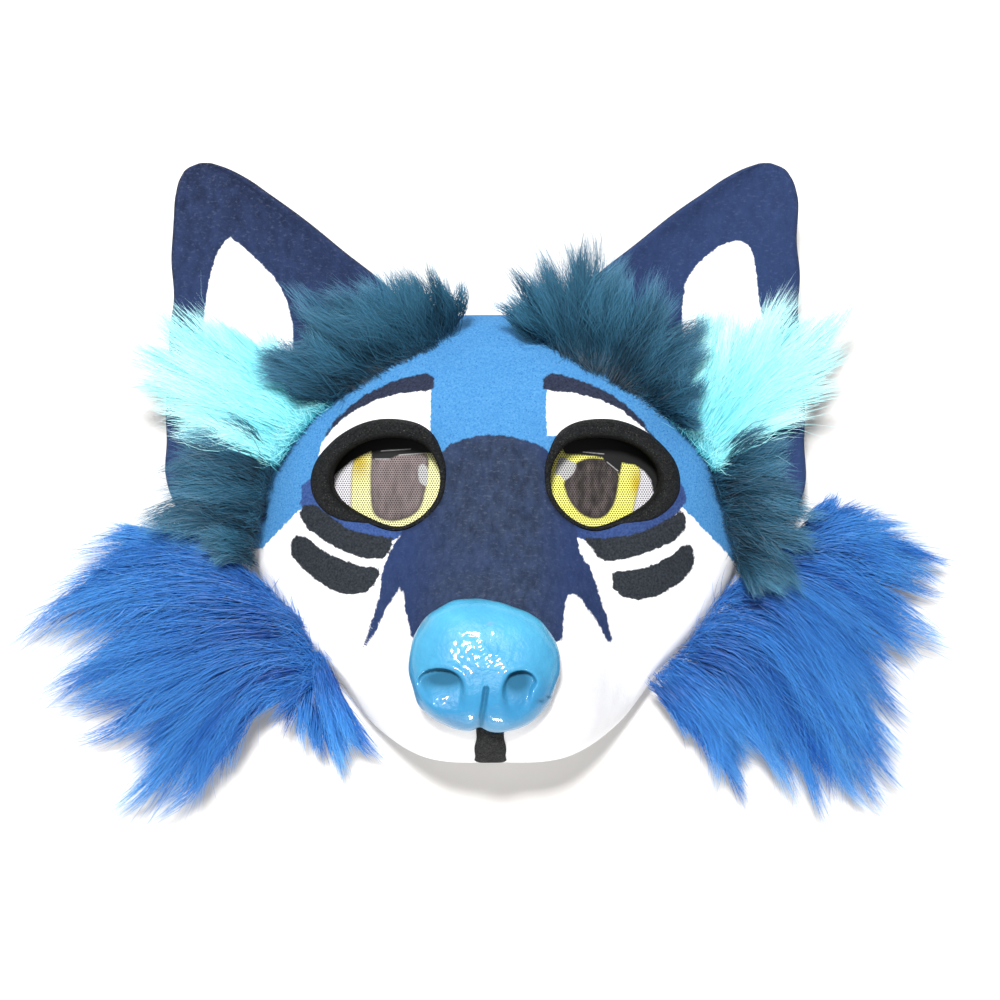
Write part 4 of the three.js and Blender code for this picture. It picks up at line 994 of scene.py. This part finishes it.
def make_nose():
    turns, rings, side_rings = 200, 82, 24
    bend = 0.5  # the tilt at which the side turns into the front
    centre = from_picture(NOSE_CENTRE, NOSE_EDGE_LEVEL)
    line = closed_curve(from_picture(NOSE_OUTLINE, NOSE_EDGE_LEVEL), 600) - centre
    turn_of = np.arctan2(line[:, 1], line[:, 0])
    order = np.argsort(turn_of)
    turn = np.linspace(-math.pi, math.pi, turns, endpoint=False)
    reach = np.interp(turn, turn_of[order], np.hypot(*line.T)[order], period=2 * math.pi)
    side_tilt = np.linspace(-QUARTER * 0.55, bend, side_rings, endpoint=False)
    # even steps in plan where the nose faces the viewer
    front_flat = np.cos(bend) ** 0.62 * np.linspace(1, 0, rings - side_rings, endpoint=False)
    flat = np.concatenate([np.cos(side_tilt) ** 0.62, front_flat])
    rise = (NOSE_RISE - 0.5) * np.sqrt(np.maximum(0, 1 - flat**3.2))
    under = np.flatnonzero(side_tilt < 0)
    rise[under] = NOSE_FOOT * np.sin(side_tilt[under])
    x = (centre[0] + reach * flat[:, None] * np.cos(turn)).ravel()
    y = (centre[1] + reach * flat[:, None] * np.sin(turn)).ravel()
    fore = np.repeat(np.clip(rise / NOSE_RISE, 0, 1), turns)
    # the front rises a little towards the chin
    z = face_height(*centre) + np.repeat(rise, turns) + 0.09 * (centre[1] - y) * fore
    points = np.column_stack([x, y, z])
    points = np.vstack([points, [*centre, points[-turns:, 2].mean()]])
    fore = np.append(fore, 1)
    nearer = (VIEW[2] - NOSE_LEVEL) / (VIEW[2] - points[:, 2])
    seen_at = VIEW[:2] + (points[:, :2] - VIEW[:2]) * nearer[:, None]

    def mound(across, up, wide, tall):
        """A soft bump of picture units' place and half sizes."""
        spot = from_picture((across, up), NOSE_LEVEL)
        away = (seen_at - spot) / (np.array([wide, tall]) * picture_scale(NOSE_LEVEL))
        return np.exp(-(away**2).sum(1))

    def mounds(rows):
        return sum(height * mound(*place) for height, *place in rows)

    low = dark = ridge = np.zeros(len(points))
    for nostril, dark_place in zip(NOSTRILS, NOSTRIL_DARKS):
        shape = closed_curve(from_picture(nostril, NOSE_LEVEL), 160)
        away = signed_distance(seen_at, shape)
        fall = np.clip((shape[:, 1].max() - seen_at[:, 1]) / np.ptp(shape[:, 1]), 0, 1)
        wall = np.clip(-away / (0.8 + 2.6 * fall), 0, 1)
        wall = wall * wall * (3 - 2 * wall)
        low = np.maximum(low, 5.4 * wall * (1 - fall) ** 1.3)
        dark = np.maximum(dark, wall * np.clip(1.5 * mound(*dark_place), 0, 1))
        ridge = np.maximum(ridge, np.exp(-(((away - 1.0) / 1.2) ** 2)) * (1 - 0.75 * fall))
    slot = line_distance(seen_at, *from_picture(NOSE_SLOT, NOSE_LEVEL))
    slot = np.clip(1 - slot / 1.1, 0, 1) ** 0.7
    cracks = mounds(NOSE_CRACKS)
    swell = 0.5 * ridge + mounds(NOSE_SWELLS) - 1.9
    dents = mounds(NOSE_DENTS) + 0.7 * cracks
    rough = 0.15 * lumps(points, 6, 21) + 0.05 * lumps(points, 2.4, 22)
    rough = rough + (0.015 + 0.1 * mounds(NOSE_SPARKLES)) * lumps(points, 1.3, 23, 30)
    points[:, 2] += fore * (swell - low - 1.9 * slot - dents + rough)
    out = points[:, :2] - centre
    out /= np.maximum(np.linalg.norm(out, axis=1, keepdims=True), 1e-6)
    points[:, :2] += out * ((1 - fore) * 0.22 * lumps(points, 5, 24))[:, None]
    # the two outermost rings sit just above the felt, and the rest clears it
    least = face_height(points[:, 0], points[:, 1]) + SEAT_GAP
    buried = np.arange(len(points)) < turns * 2
    points[:, 2] = np.where(buried, least + 0.02, np.maximum(points[:, 2], least))
    points = np.vstack([points, [*centre, face_height(*centre) + SEAT_GAP]])
    top, base = len(points) - 2, len(points) - 1
    fans = np.vstack([fan_tris((rings - 1) * turns, turns, top), fan_tris(0, turns, base, turned=True)])
    piece = add_mesh("cast_nose", points, grid_quads(rings, turns, closed_columns=True), fans)
    # painted shade: the nostrils, the slot below them and the cracks are darker and lose their gloss
    keep_value(piece, "shaded_hollow", np.append(np.clip(dark + 0.8 * slot + cracks, 0, 1), 0))
    keep_value(piece, "worn", np.append(mounds(NOSE_WORN), 0))
    dress(piece, "nose", "cast_nose", cast_nose())


make_nose()


LIP_WIDENS = 0.2 * HALF_HEIGHT  # over this stretch before the rim the lip strip gets wider


def make_lip_strip():
    rows, columns = 90, 16
    y = np.linspace(NOSE_UP - 8, -HALF_HEIGHT + 0.1, rows)[:, None] + np.zeros(columns)
    share = np.linspace(-1, 1, columns)
    ragged = 0.3 * lumps(y[:, :1], 5, 61)[:, None]
    wider = np.clip((LIP_WIDENS - HALF_HEIGHT - y) / LIP_WIDENS, 0, 1)
    half = 0.45 * LIP_STRIP_WIDTH * (1 + 0.35 * wider) + ragged
    x = 0.8 * NOSE_SHIFT + share * half
    turn = np.arctan2(y - POLE[1], x - POLE[0])
    lift = np.arccos(np.minimum(0.9995, rim_share(x, y)) ** (EDGE_SQUARENESS / 2))
    thick = LIP_STRIP_THICK * (1 - 0.65 * np.abs(share) ** 6)
    front = face_offset(turn, lift, SEAT_GAP + thick + 0 * y)
    back = face_offset(turn, lift, SEAT_GAP + 0 * y)
    keep = np.argmax(front[:, 0, 2] < LIP_STRIP_END)
    front, back = front[:keep], back[:keep]
    points = np.vstack([front.reshape(-1, 3), back.reshape(-1, 3)])
    size = keep * columns
    front_quads = grid_quads(keep, columns)
    number = np.arange(size).reshape(keep, columns)
    ring = np.concatenate([number[0], number[1:, -1], number[-1, -2::-1], number[-2:0:-1, 0]])
    ahead = np.roll(ring, -1)
    edge_quads = np.stack([ahead, ring, ring + size, ahead + size], -1)
    quads = np.vstack([front_quads, front_quads[:, ::-1] + size, edge_quads])
    piece = add_mesh("lip_felt", points, quads)
    dress(piece, "lip_strip", "black_foam", black_foam("lip_fibre", seen(92, 94, 96)))
    middle = front[:, columns // 2]
    length = np.linalg.norm(np.diff(middle, axis=0), axis=1).sum() * MM
    area = one_side(front.reshape(-1, 3), front_quads)


make_lip_strip()
EAR_PAINT = ear_paint()


def ear_sides(up):
    """How far out the ears' outer and inner edges lie, at shares of their height."""
    return [EAR_REACH - EAR_WIDTH * smooth_read(EAR_ROWS, column, up) for column in (1, 2)]


def ear_back(up, share):
    """The height of the ears' backs, at shares of their height and of their width."""
    return EAR_LIFT + EAR_LEAN * up + EAR_CUP * (2 * share - 1) ** 2


def make_ear(side, label, white):
    columns, bevel = 26, 5
    half = EAR_THICK / 2
    up = np.concatenate([np.linspace(0, 0.9, 86), 1 - 0.1 * np.linspace(1, 0, 35)[1:] ** 1.6])
    outer, inner = ear_sides(up)
    outer = outer + 0.5 * lumps(up[:, None] * EAR_HEIGHT, 16, 31 + side, 8)
    inner = inner + 0.5 * lumps(up[:, None] * EAR_HEIGHT, 13, 41 + side, 8)
    across = np.linspace(0, 1, columns)
    bend = np.linspace(-QUARTER, QUARTER, bevel * 2 + 1)[1:-1]
    rings = []
    for height, out, into in zip(up, outer, inner):
        run_in = min(half, 0.45 * abs(out - into))
        xs = out - run_in + (into - out + 2 * run_in) * across
        low = ear_back(height, (xs - out) / (into - out))
        turn_in = [xs[-1] - run_in * np.cos(bend[::-1]), low[-1] + half + half * np.sin(bend[::-1])]
        turn_out = [xs[0] + run_in * np.cos(bend), low[0] + half + half * np.sin(bend)]
        ring_x, ring_z = np.hstack([[xs, low + EAR_THICK], turn_in, [xs[::-1], low[::-1]], turn_out])
        ring_y = np.full(len(ring_x), EAR_BASE_UP + height * EAR_HEIGHT)
        rings.append(np.column_stack([EAR_SHIFT + side * ring_x, ring_y, ring_z]))
    size = len(rings[0])
    points = np.vstack(rings)
    points[:, 2] += 0.35 * lumps(points, 18, 51 + side)
    points = np.vstack([points, rings[0].mean(0), rings[-1].mean(0) + [0, 0.4, 0]])
    quads = grid_quads(len(up), size, closed_columns=True)
    foot, tip = len(points) - 2, len(points) - 1
    fans = np.vstack([fan_tris(0, size, foot, turned=True), fan_tris((len(up) - 1) * size, size, tip)])
    if side > 0:
        quads, fans = quads[:, ::-1], fans[:, ::-1]
    # what lies within the face is cut away
    x, y, z = points[quads].mean(1).T
    hidden = (rim_share(x, y) < 0.985) & (z < face_height(x, y) + 0.4)
    piece = add_mesh("felt_ear_" + label, points, quads[~hidden], fans)
    high = (points[:, 1] - EAR_BASE_UP) / EAR_HEIGHT
    facing = points[:, 2] > EAR_LIFT + EAR_LEAN * high + half
    unpainted = 9  # a distance well outside the outline, for the backs
    keep_value(piece, "white_low", np.where(facing, outline_distance(as_painted(points), white), unpainted))
    side_x = side * (points[:, 0] - EAR_SHIFT)
    high = np.clip(high, 0, 1)
    edge = np.min([abs(side_x - np.interp(high, up, line)) for line in (outer, inner)], axis=0)
    keep_value(piece, "worn_edge", np.minimum(edge, (1 - high) * EAR_HEIGHT) - 0.7)
    dress(piece, "ear_" + label, "ear_felt", EAR_PAINT)


make_ear(-1, "left", EAR_WHITE_LEFT)
make_ear(1, "right", EAR_WHITE_RIGHT)


# Fur
KNOTS = 6
GUIDE_STEPS = 25
PAST_LAST = 1.001  # the last place across the guides lies just this far before their number
FUR_CLEAR = 0.4  # how far hair stands off the face and the ears
WISPS = 0.3  # the share of tufts that stand out from their lock as thin wisps
STRAYS_FROM = 0.965  # hairs drawn above this stray, and those above the next line the root's edge
EDGES_FROM = 0.9
LONGEST = 1.07  # the longest reach of a tuft, as a share of its guide
TONE_ACROSS = 0.006  # how much of the map a strand takes up to each side
# no hair lies further left or lower than this in the picture
FUR_LEFT = -8
FUR_LOW = 842


def read_guides(traced):
    """The traced guides at even shares of their length, in the picture's units."""
    read = []
    for guide in traced:
        guide = np.array(guide, float).reshape(-1, 2)
        run = np.concatenate([[0], np.cumsum(np.linalg.norm(np.diff(guide, axis=0), axis=1))])
        run /= run[-1]
        curves = [np.polyfit(run, guide[:, k], len(guide) - 1) for k in (0, 1)]
        at = np.linspace(0, 1, GUIDE_STEPS)
        read.append(np.stack([np.polyval(curve, at) for curve in curves], -1))
    return np.array(read)


def follow(guides, at, share):
    """Places in the picture, from a place across the guides and a share along them."""
    at = np.clip(at, 0, len(guides) - PAST_LAST)
    i = at.astype(int)
    u = (at - i)[..., None]
    run = np.maximum(share, 0) * (GUIDE_STEPS - 1)
    j = np.minimum(run.astype(int), GUIDE_STEPS - 2)
    w = (run - j)[..., None]
    near = guides[i, j] * (1 - u) + guides[i + 1, j] * u
    far = guides[i, j + 1] * (1 - u) + guides[i + 1, j + 1] * u
    return near * (1 - w) + far * w


def scattered(rng, count, density):
    """Places across the guides, spread by the density at each guide."""
    places = np.linspace(0, len(density) - PAST_LAST, 400)
    share = np.cumsum(np.interp(places, np.arange(len(density)), density))
    return np.interp((np.arange(count) + rng.random(count)) / count, share / share[-1], places)


def turned(path, sweep):
    """Paths with each of their steps turned by an angle."""
    steps = np.diff(path, axis=1)
    c, d = np.cos(sweep), np.sin(sweep)
    steps = np.stack([steps[..., 0] * c - steps[..., 1] * d, steps[..., 0] * d + steps[..., 1] * c], -1)
    return np.concatenate([path[:, :1], path[:, :1] + np.cumsum(steps, 1)], 1)


def ear_front(x, y):
    """The height of the ears' fronts, and zero beside them."""
    up = (y - EAR_BASE_UP) / EAR_HEIGHT
    outer, inner = ear_sides(up)
    found = np.zeros_like(x)
    for side in (-1, 1):
        share = (side * (x - EAR_SHIFT) - outer) / (inner - outer)
        on = (up > 0) & (up < 1) & (share > -0.02) & (share < 1.02)
        found = np.where(on, ear_back(up, share) + EAR_THICK, found)
    return found


def lifted(path, risen):
    """Places in space of strands seen along paths, risen, and clear of the face and the ears."""
    level = risen
    for _ in range(3):
        x, y = np.moveaxis(from_picture(path, level), -1, 0)
        clear = np.maximum(face_height(x, y), ear_front(x, y)) + FUR_CLEAR
        level = np.maximum(risen, clear)
    softer = level.copy()
    softer[:, 1:-1] = (level[:, :-2] + 2 * level[:, 1:-1] + level[:, 2:]) / 4
    level = np.maximum(softer, clear)
    return np.concatenate([from_picture(path, level), level[..., None]], -1)


def add_strands(name, line, width, roll, tone, lit):
    """Flat strands that end in a point, with their tone across the map and their light up it."""
    strands = len(line)
    along = np.gradient(line, axis=1)
    along /= np.linalg.norm(along, axis=-1, keepdims=True)
    flat = np.cross([0.0, 0.0, 1.0], along)
    flat /= np.maximum(np.linalg.norm(flat, axis=-1, keepdims=True), 1e-6)
    roll = roll[:, None, None]
    aside = (flat * np.cos(roll) + np.cross(along, flat) * np.sin(roll)) * width[..., None] / 2
    sides = np.stack([(line + aside)[:, :-1], (line - aside)[:, :-1]], 2).reshape(strands, -1, 3)
    points = np.concatenate([sides, line[:, -1:]], 1)
    per = points.shape[1]
    k = np.arange(KNOTS - 2) * 2
    starts = (np.arange(strands) * per)[:, None, None]
    quads = (starts + np.stack([k, k + 1, k + 3, k + 2], -1)).reshape(-1, 4)
    tris = starts[:, 0] + np.array([per - 3, per - 2, per - 1])
    piece = add_mesh(name, points.reshape(-1, 3), quads, tris)
    u = tone[:, None] + np.array([-TONE_ACROSS, TONE_ACROSS] * (KNOTS - 1) + [0])
    v = np.concatenate([np.repeat(lit[:, :-1], 2, 1), lit[:, -1:]], 1)
    corners = np.concatenate([quads.ravel(), tris.ravel()])
    uv = np.stack([u.ravel()[corners], v.ravel()[corners]], -1).astype(np.float32)
    piece.data.uv_layers.new(name=BAKE_MAP, do_init=False).data.foreach_set("uv", uv.ravel())
    return piece


def make_fur(name, node, slot, material, traced, strands, seed, form, density):
    """Flat tapering strands along the traced guides, gathered into tufts, and the tufts into locks."""
    rng = np.random.default_rng(seed)
    guides = read_guides(traced)
    s = np.linspace(0, 1, KNOTS)
    locks, tufts = len(guides), form["tufts"]
    lock_at = np.arange(locks) + rng.uniform(-0.2, 0.2, locks)
    lock_long = np.clip(rng.normal(1.0, 0.03, locks), 0.93, 1.05)
    tuft_at = rng.permutation(scattered(rng, tufts, density))
    lock = np.argmin(abs(tuft_at[:, None] - lock_at[None, :]), axis=1)
    tuft_start = form["starts"] * rng.random(tufts) ** 1.25
    wisp = rng.random(tufts) < WISPS
    reach = np.where(wisp, rng.uniform(0.99, LONGEST, tufts), rng.uniform(0.84, 0.98, tufts))
    tuft_end = np.minimum(tuft_start + rng.uniform(*form["span"], tufts), reach)
    off_middle = np.clip(abs(tuft_at - lock_at[lock]) / 0.55, 0, 1)
    tuft_end = tuft_end * lock_long[lock] * (1 - form["point"] * off_middle**1.2)
    tuft_end = np.minimum(tuft_end, LONGEST)
    tuft_turn = rng.normal(0, math.radians(form["stray"]), tufts)
    tuft_wave = rng.normal(0, form["wave"], tufts)
    tuft_rank = rng.random(tufts)
    tuft_tone = rng.normal(0, 0.24, tufts)

    own = rng.integers(0, tufts, strands)
    kind = rng.random(strands)
    short = kind < form["short"]
    stray = kind > STRAYS_FROM
    edge = (kind > EDGES_FROM) & ~stray
    at = tuft_at[own] + rng.normal(0, form["spread"], strands)
    start = tuft_start[own] + rng.normal(0, 0.045, strands)
    start = np.where(edge, rng.normal(0, 0.02, strands), start)
    start = np.maximum(start, rng.normal(0, 0.012, strands))
    uneven = np.where(wisp[own], 0.09, 0.17)
    long = (tuft_end[own] - tuft_start[own]) * np.clip(1 - abs(rng.normal(0, uneven)), 0.4, 1)
    long = np.where(short, long * rng.uniform(0.3, 0.8, strands), long)
    long = np.where(stray, long * rng.uniform(0.8, 1.05, strands), long)
    long = np.where(edge, long * rng.uniform(0.1, 0.25, strands), long)
    share = start[:, None] + long[:, None] * s
    gather = np.where(short | stray | edge, rng.uniform(0.0, 0.5, strands), rng.uniform(0.72, 0.97, strands))
    pulled = at[:, None] + ((tuft_at[own] - at) * gather)[:, None] * s**1.2
    pulled = pulled + (lock_at[lock][own][:, None] - pulled) * form["pull"] * np.clip(share, 0, 1) ** 3
    path = follow(guides, pulled, share)
    path = path + rng.normal(0, form["tip_spread"], (strands, 1, 2)) * s[None, :, None]
    path = path + rng.normal(0, form["root_spread"], (strands, 1, 2)) * (1 - s)[None, :, None]

    # each path turns more and more towards its tip, with a slight wave
    turn = tuft_turn[own] + rng.normal(0, math.radians(3), strands)
    turn = turn + np.where(stray, rng.normal(0, math.radians(17), strands), 0)
    sweep = turn[:, None] * (0.3 + 0.7 * s[1:])
    sweep = sweep + np.where(edge, rng.normal(0, math.radians(30), strands), 0)[:, None]
    wave = tuft_wave[own] + rng.normal(0, 0.6 * form["wave"], strands)
    sweep = sweep + wave[:, None] * np.sin(s[1:] * 6 + 40 * tuft_wave[own][:, None])
    path = turned(path, sweep)
    path[..., 0] = np.maximum(path[..., 0], FUR_LEFT)
    path[..., 1] = np.minimum(path[..., 1], FUR_LOW)

    rank = np.clip(0.76 * tuft_rank[own] + 0.24 * rng.random(strands), 0, 1)
    rank = np.where(stray, 1, rank)
    held = np.clip(share, 0, 1)
    lying = form["root"] * (1 - held) + form["tip"] * held + 4 * form["arch"] * held * (1 - held)
    risen = lying + (rank * form["thick"])[:, None] * (1 - (1 - s) ** 2) * (1 - 0.3 * s**2)
    roll = rng.normal(0, math.radians(32), strands)
    thin = np.where(stray | edge, 0.55, 1.0)
    taper = (1 - 0.93 * s**1.9) * np.minimum(1, 0.35 + 3.5 * s)
    width = (form["width"] * thin * rng.uniform(0.6, 1.3, strands))[:, None] * taper
    # painted light: strands that lie higher in the pile are lighter; the tone also varies at random by tuft
    # and strand, short hairs are darker and edge hairs lighter
    tone = 0.28 + 0.34 * rank + tuft_tone[own] + rng.normal(0, 0.1, strands)
    tone = np.where(edge, tone + 0.3, np.where(short, tone - 0.14, tone))
    tone = np.clip(tone, 0.02, 0.98)
    lit = np.clip(0.62 * s + 0.38 * held, 0, 0.995)
    piece = add_strands(name, lifted(path, risen), width, roll, tone, lit)
    dress(piece, node, slot, material)


ROYAL = fur_look(
    "royal_fur",
    [(0.0, (16, 54, 118)), (0.25, (12, 52, 124)), (0.7, (24, 88, 174)), (1.0, (48, 134, 220))],
    [(0.0, (66, 128, 204)), (0.25, (42, 112, 194)), (0.7, (70, 148, 222)), (1.0, (130, 200, 246))],
)
TEAL = fur_look(
    "teal_fur",
    [(0.0, (7, 22, 34)), (0.35, (13, 40, 56)), (0.75, (24, 66, 90)), (1.0, (48, 102, 130))],
    [(0.0, (20, 54, 74)), (0.35, (38, 88, 114)), (0.75, (64, 126, 158)), (1.0, (118, 178, 206))],
)
AQUA = fur_look(
    "aqua_fur",
    [(0.0, (42, 140, 160)), (0.25, (98, 208, 222)), (0.7, (134, 232, 240)), (1.0, (180, 246, 250))],
    [(0.0, (84, 196, 212)), (0.25, (150, 240, 247)), (0.7, (196, 250, 252)), (1.0, (244, 255, 255))],
)

# Forms of fur. Shares of a guide's length: starts, the last start of a tuft, and span. In gaps
# between guides: spread. Other shares: point, how much shorter a lock is at its sides, pull of the
# tips to the lock's middle, and short hairs. In degrees: stray. In radians: wave. In the picture's
# units: tip_spread, root_spread. In millimetres: the levels root and tip, arch, thick and width.
CHEEK_FORM = dict(
    tufts=200, point=0.24, starts=0.48, span=(0.55, 0.9), spread=0.22, pull=0.85, short=0.2, stray=8,
    tip_spread=1.7, root_spread=2.0, wave=0.13, root=16, tip=6, thick=10, arch=4, width=0.27,
)
SIDE_FORM = dict(
    tufts=56, point=0.2, starts=0.3, span=(0.65, 1.02), spread=0.28, pull=0.6, short=0.25, stray=14,
    tip_spread=2.6, root_spread=2.2, wave=0.22, root=23, tip=29, thick=6, arch=2, width=0.27,
)
EAR_FORM = dict(
    tufts=70, point=0.08, starts=0.35, span=(0.65, 1.02), spread=0.32, pull=0.35, short=0.25, stray=8,
    tip_spread=3.4, root_spread=2.4, wave=0.14, root=25, tip=30, thick=5, arch=1, width=0.33,
)
BROW_FORM = dict(
    tufts=80, point=0.25, starts=0.28, span=(0.7, 1.05), spread=0.28, pull=0.7, short=0.25, stray=17,
    tip_spread=2.4, root_spread=2.6, wave=0.27, root=25, tip=35, thick=8, arch=2, width=0.22,
)
# piece, node, slot, material, guides, strands, seed, form and how dense the hair is at each guide
PATCHES = [
    ("cheek_fur_left", "fur_cheek_left", "royal_fur", ROYAL, CHEEK_LEFT, 17500, 101, CHEEK_FORM,
     [1] * 11 + [0.9, 0.4, 0.15, 0.25, 0.4, 0.5, 0.35]),
    ("cheek_fur_right", "fur_cheek_right", "royal_fur", ROYAL, CHEEK_RIGHT, 17500, 102, CHEEK_FORM,
     [0.3, 0.8] + [1] * 12 + [0.9, 0.6]),
    ("side_fur_left", "fur_side_left", "teal_fur", TEAL, SIDE_LEFT, 5500, 103, SIDE_FORM, [1] * 9),
    ("side_fur_right", "fur_side_right", "teal_fur", TEAL, SIDE_RIGHT, 5500, 104, SIDE_FORM, [1] * 9),
    ("ear_fur_left", "fur_inner_ear_left", "aqua_fur", AQUA, INNER_EAR_LEFT, 7500, 105, EAR_FORM,
     [0.7, 0.8, 1, 1, 1, 1.1, 1.5, 1.5]),
    ("ear_fur_right", "fur_inner_ear_right", "aqua_fur", AQUA, INNER_EAR_RIGHT, 7500, 106, EAR_FORM,
     [0.7, 0.8, 0.9, 1, 1, 1, 1.1, 1.5, 1.5]),
    ("brow_fur_left", "fur_brow_left", "teal_fur", TEAL, BROW_LEFT, 9500, 107, BROW_FORM,
     [0.03, 0.5, 1, 1, 1, 1, 1, 1, 0.8, 0.5]),
    ("brow_fur_right", "fur_brow_right", "teal_fur", TEAL, BROW_RIGHT, 10500, 108, BROW_FORM,
     [0.5, 0.6, 0.9, 1, 1, 1, 1, 1, 1, 1, 0.9, 0.8, 0.6, 0.3]),
]
for patch in PATCHES:
    make_fur(*patch)
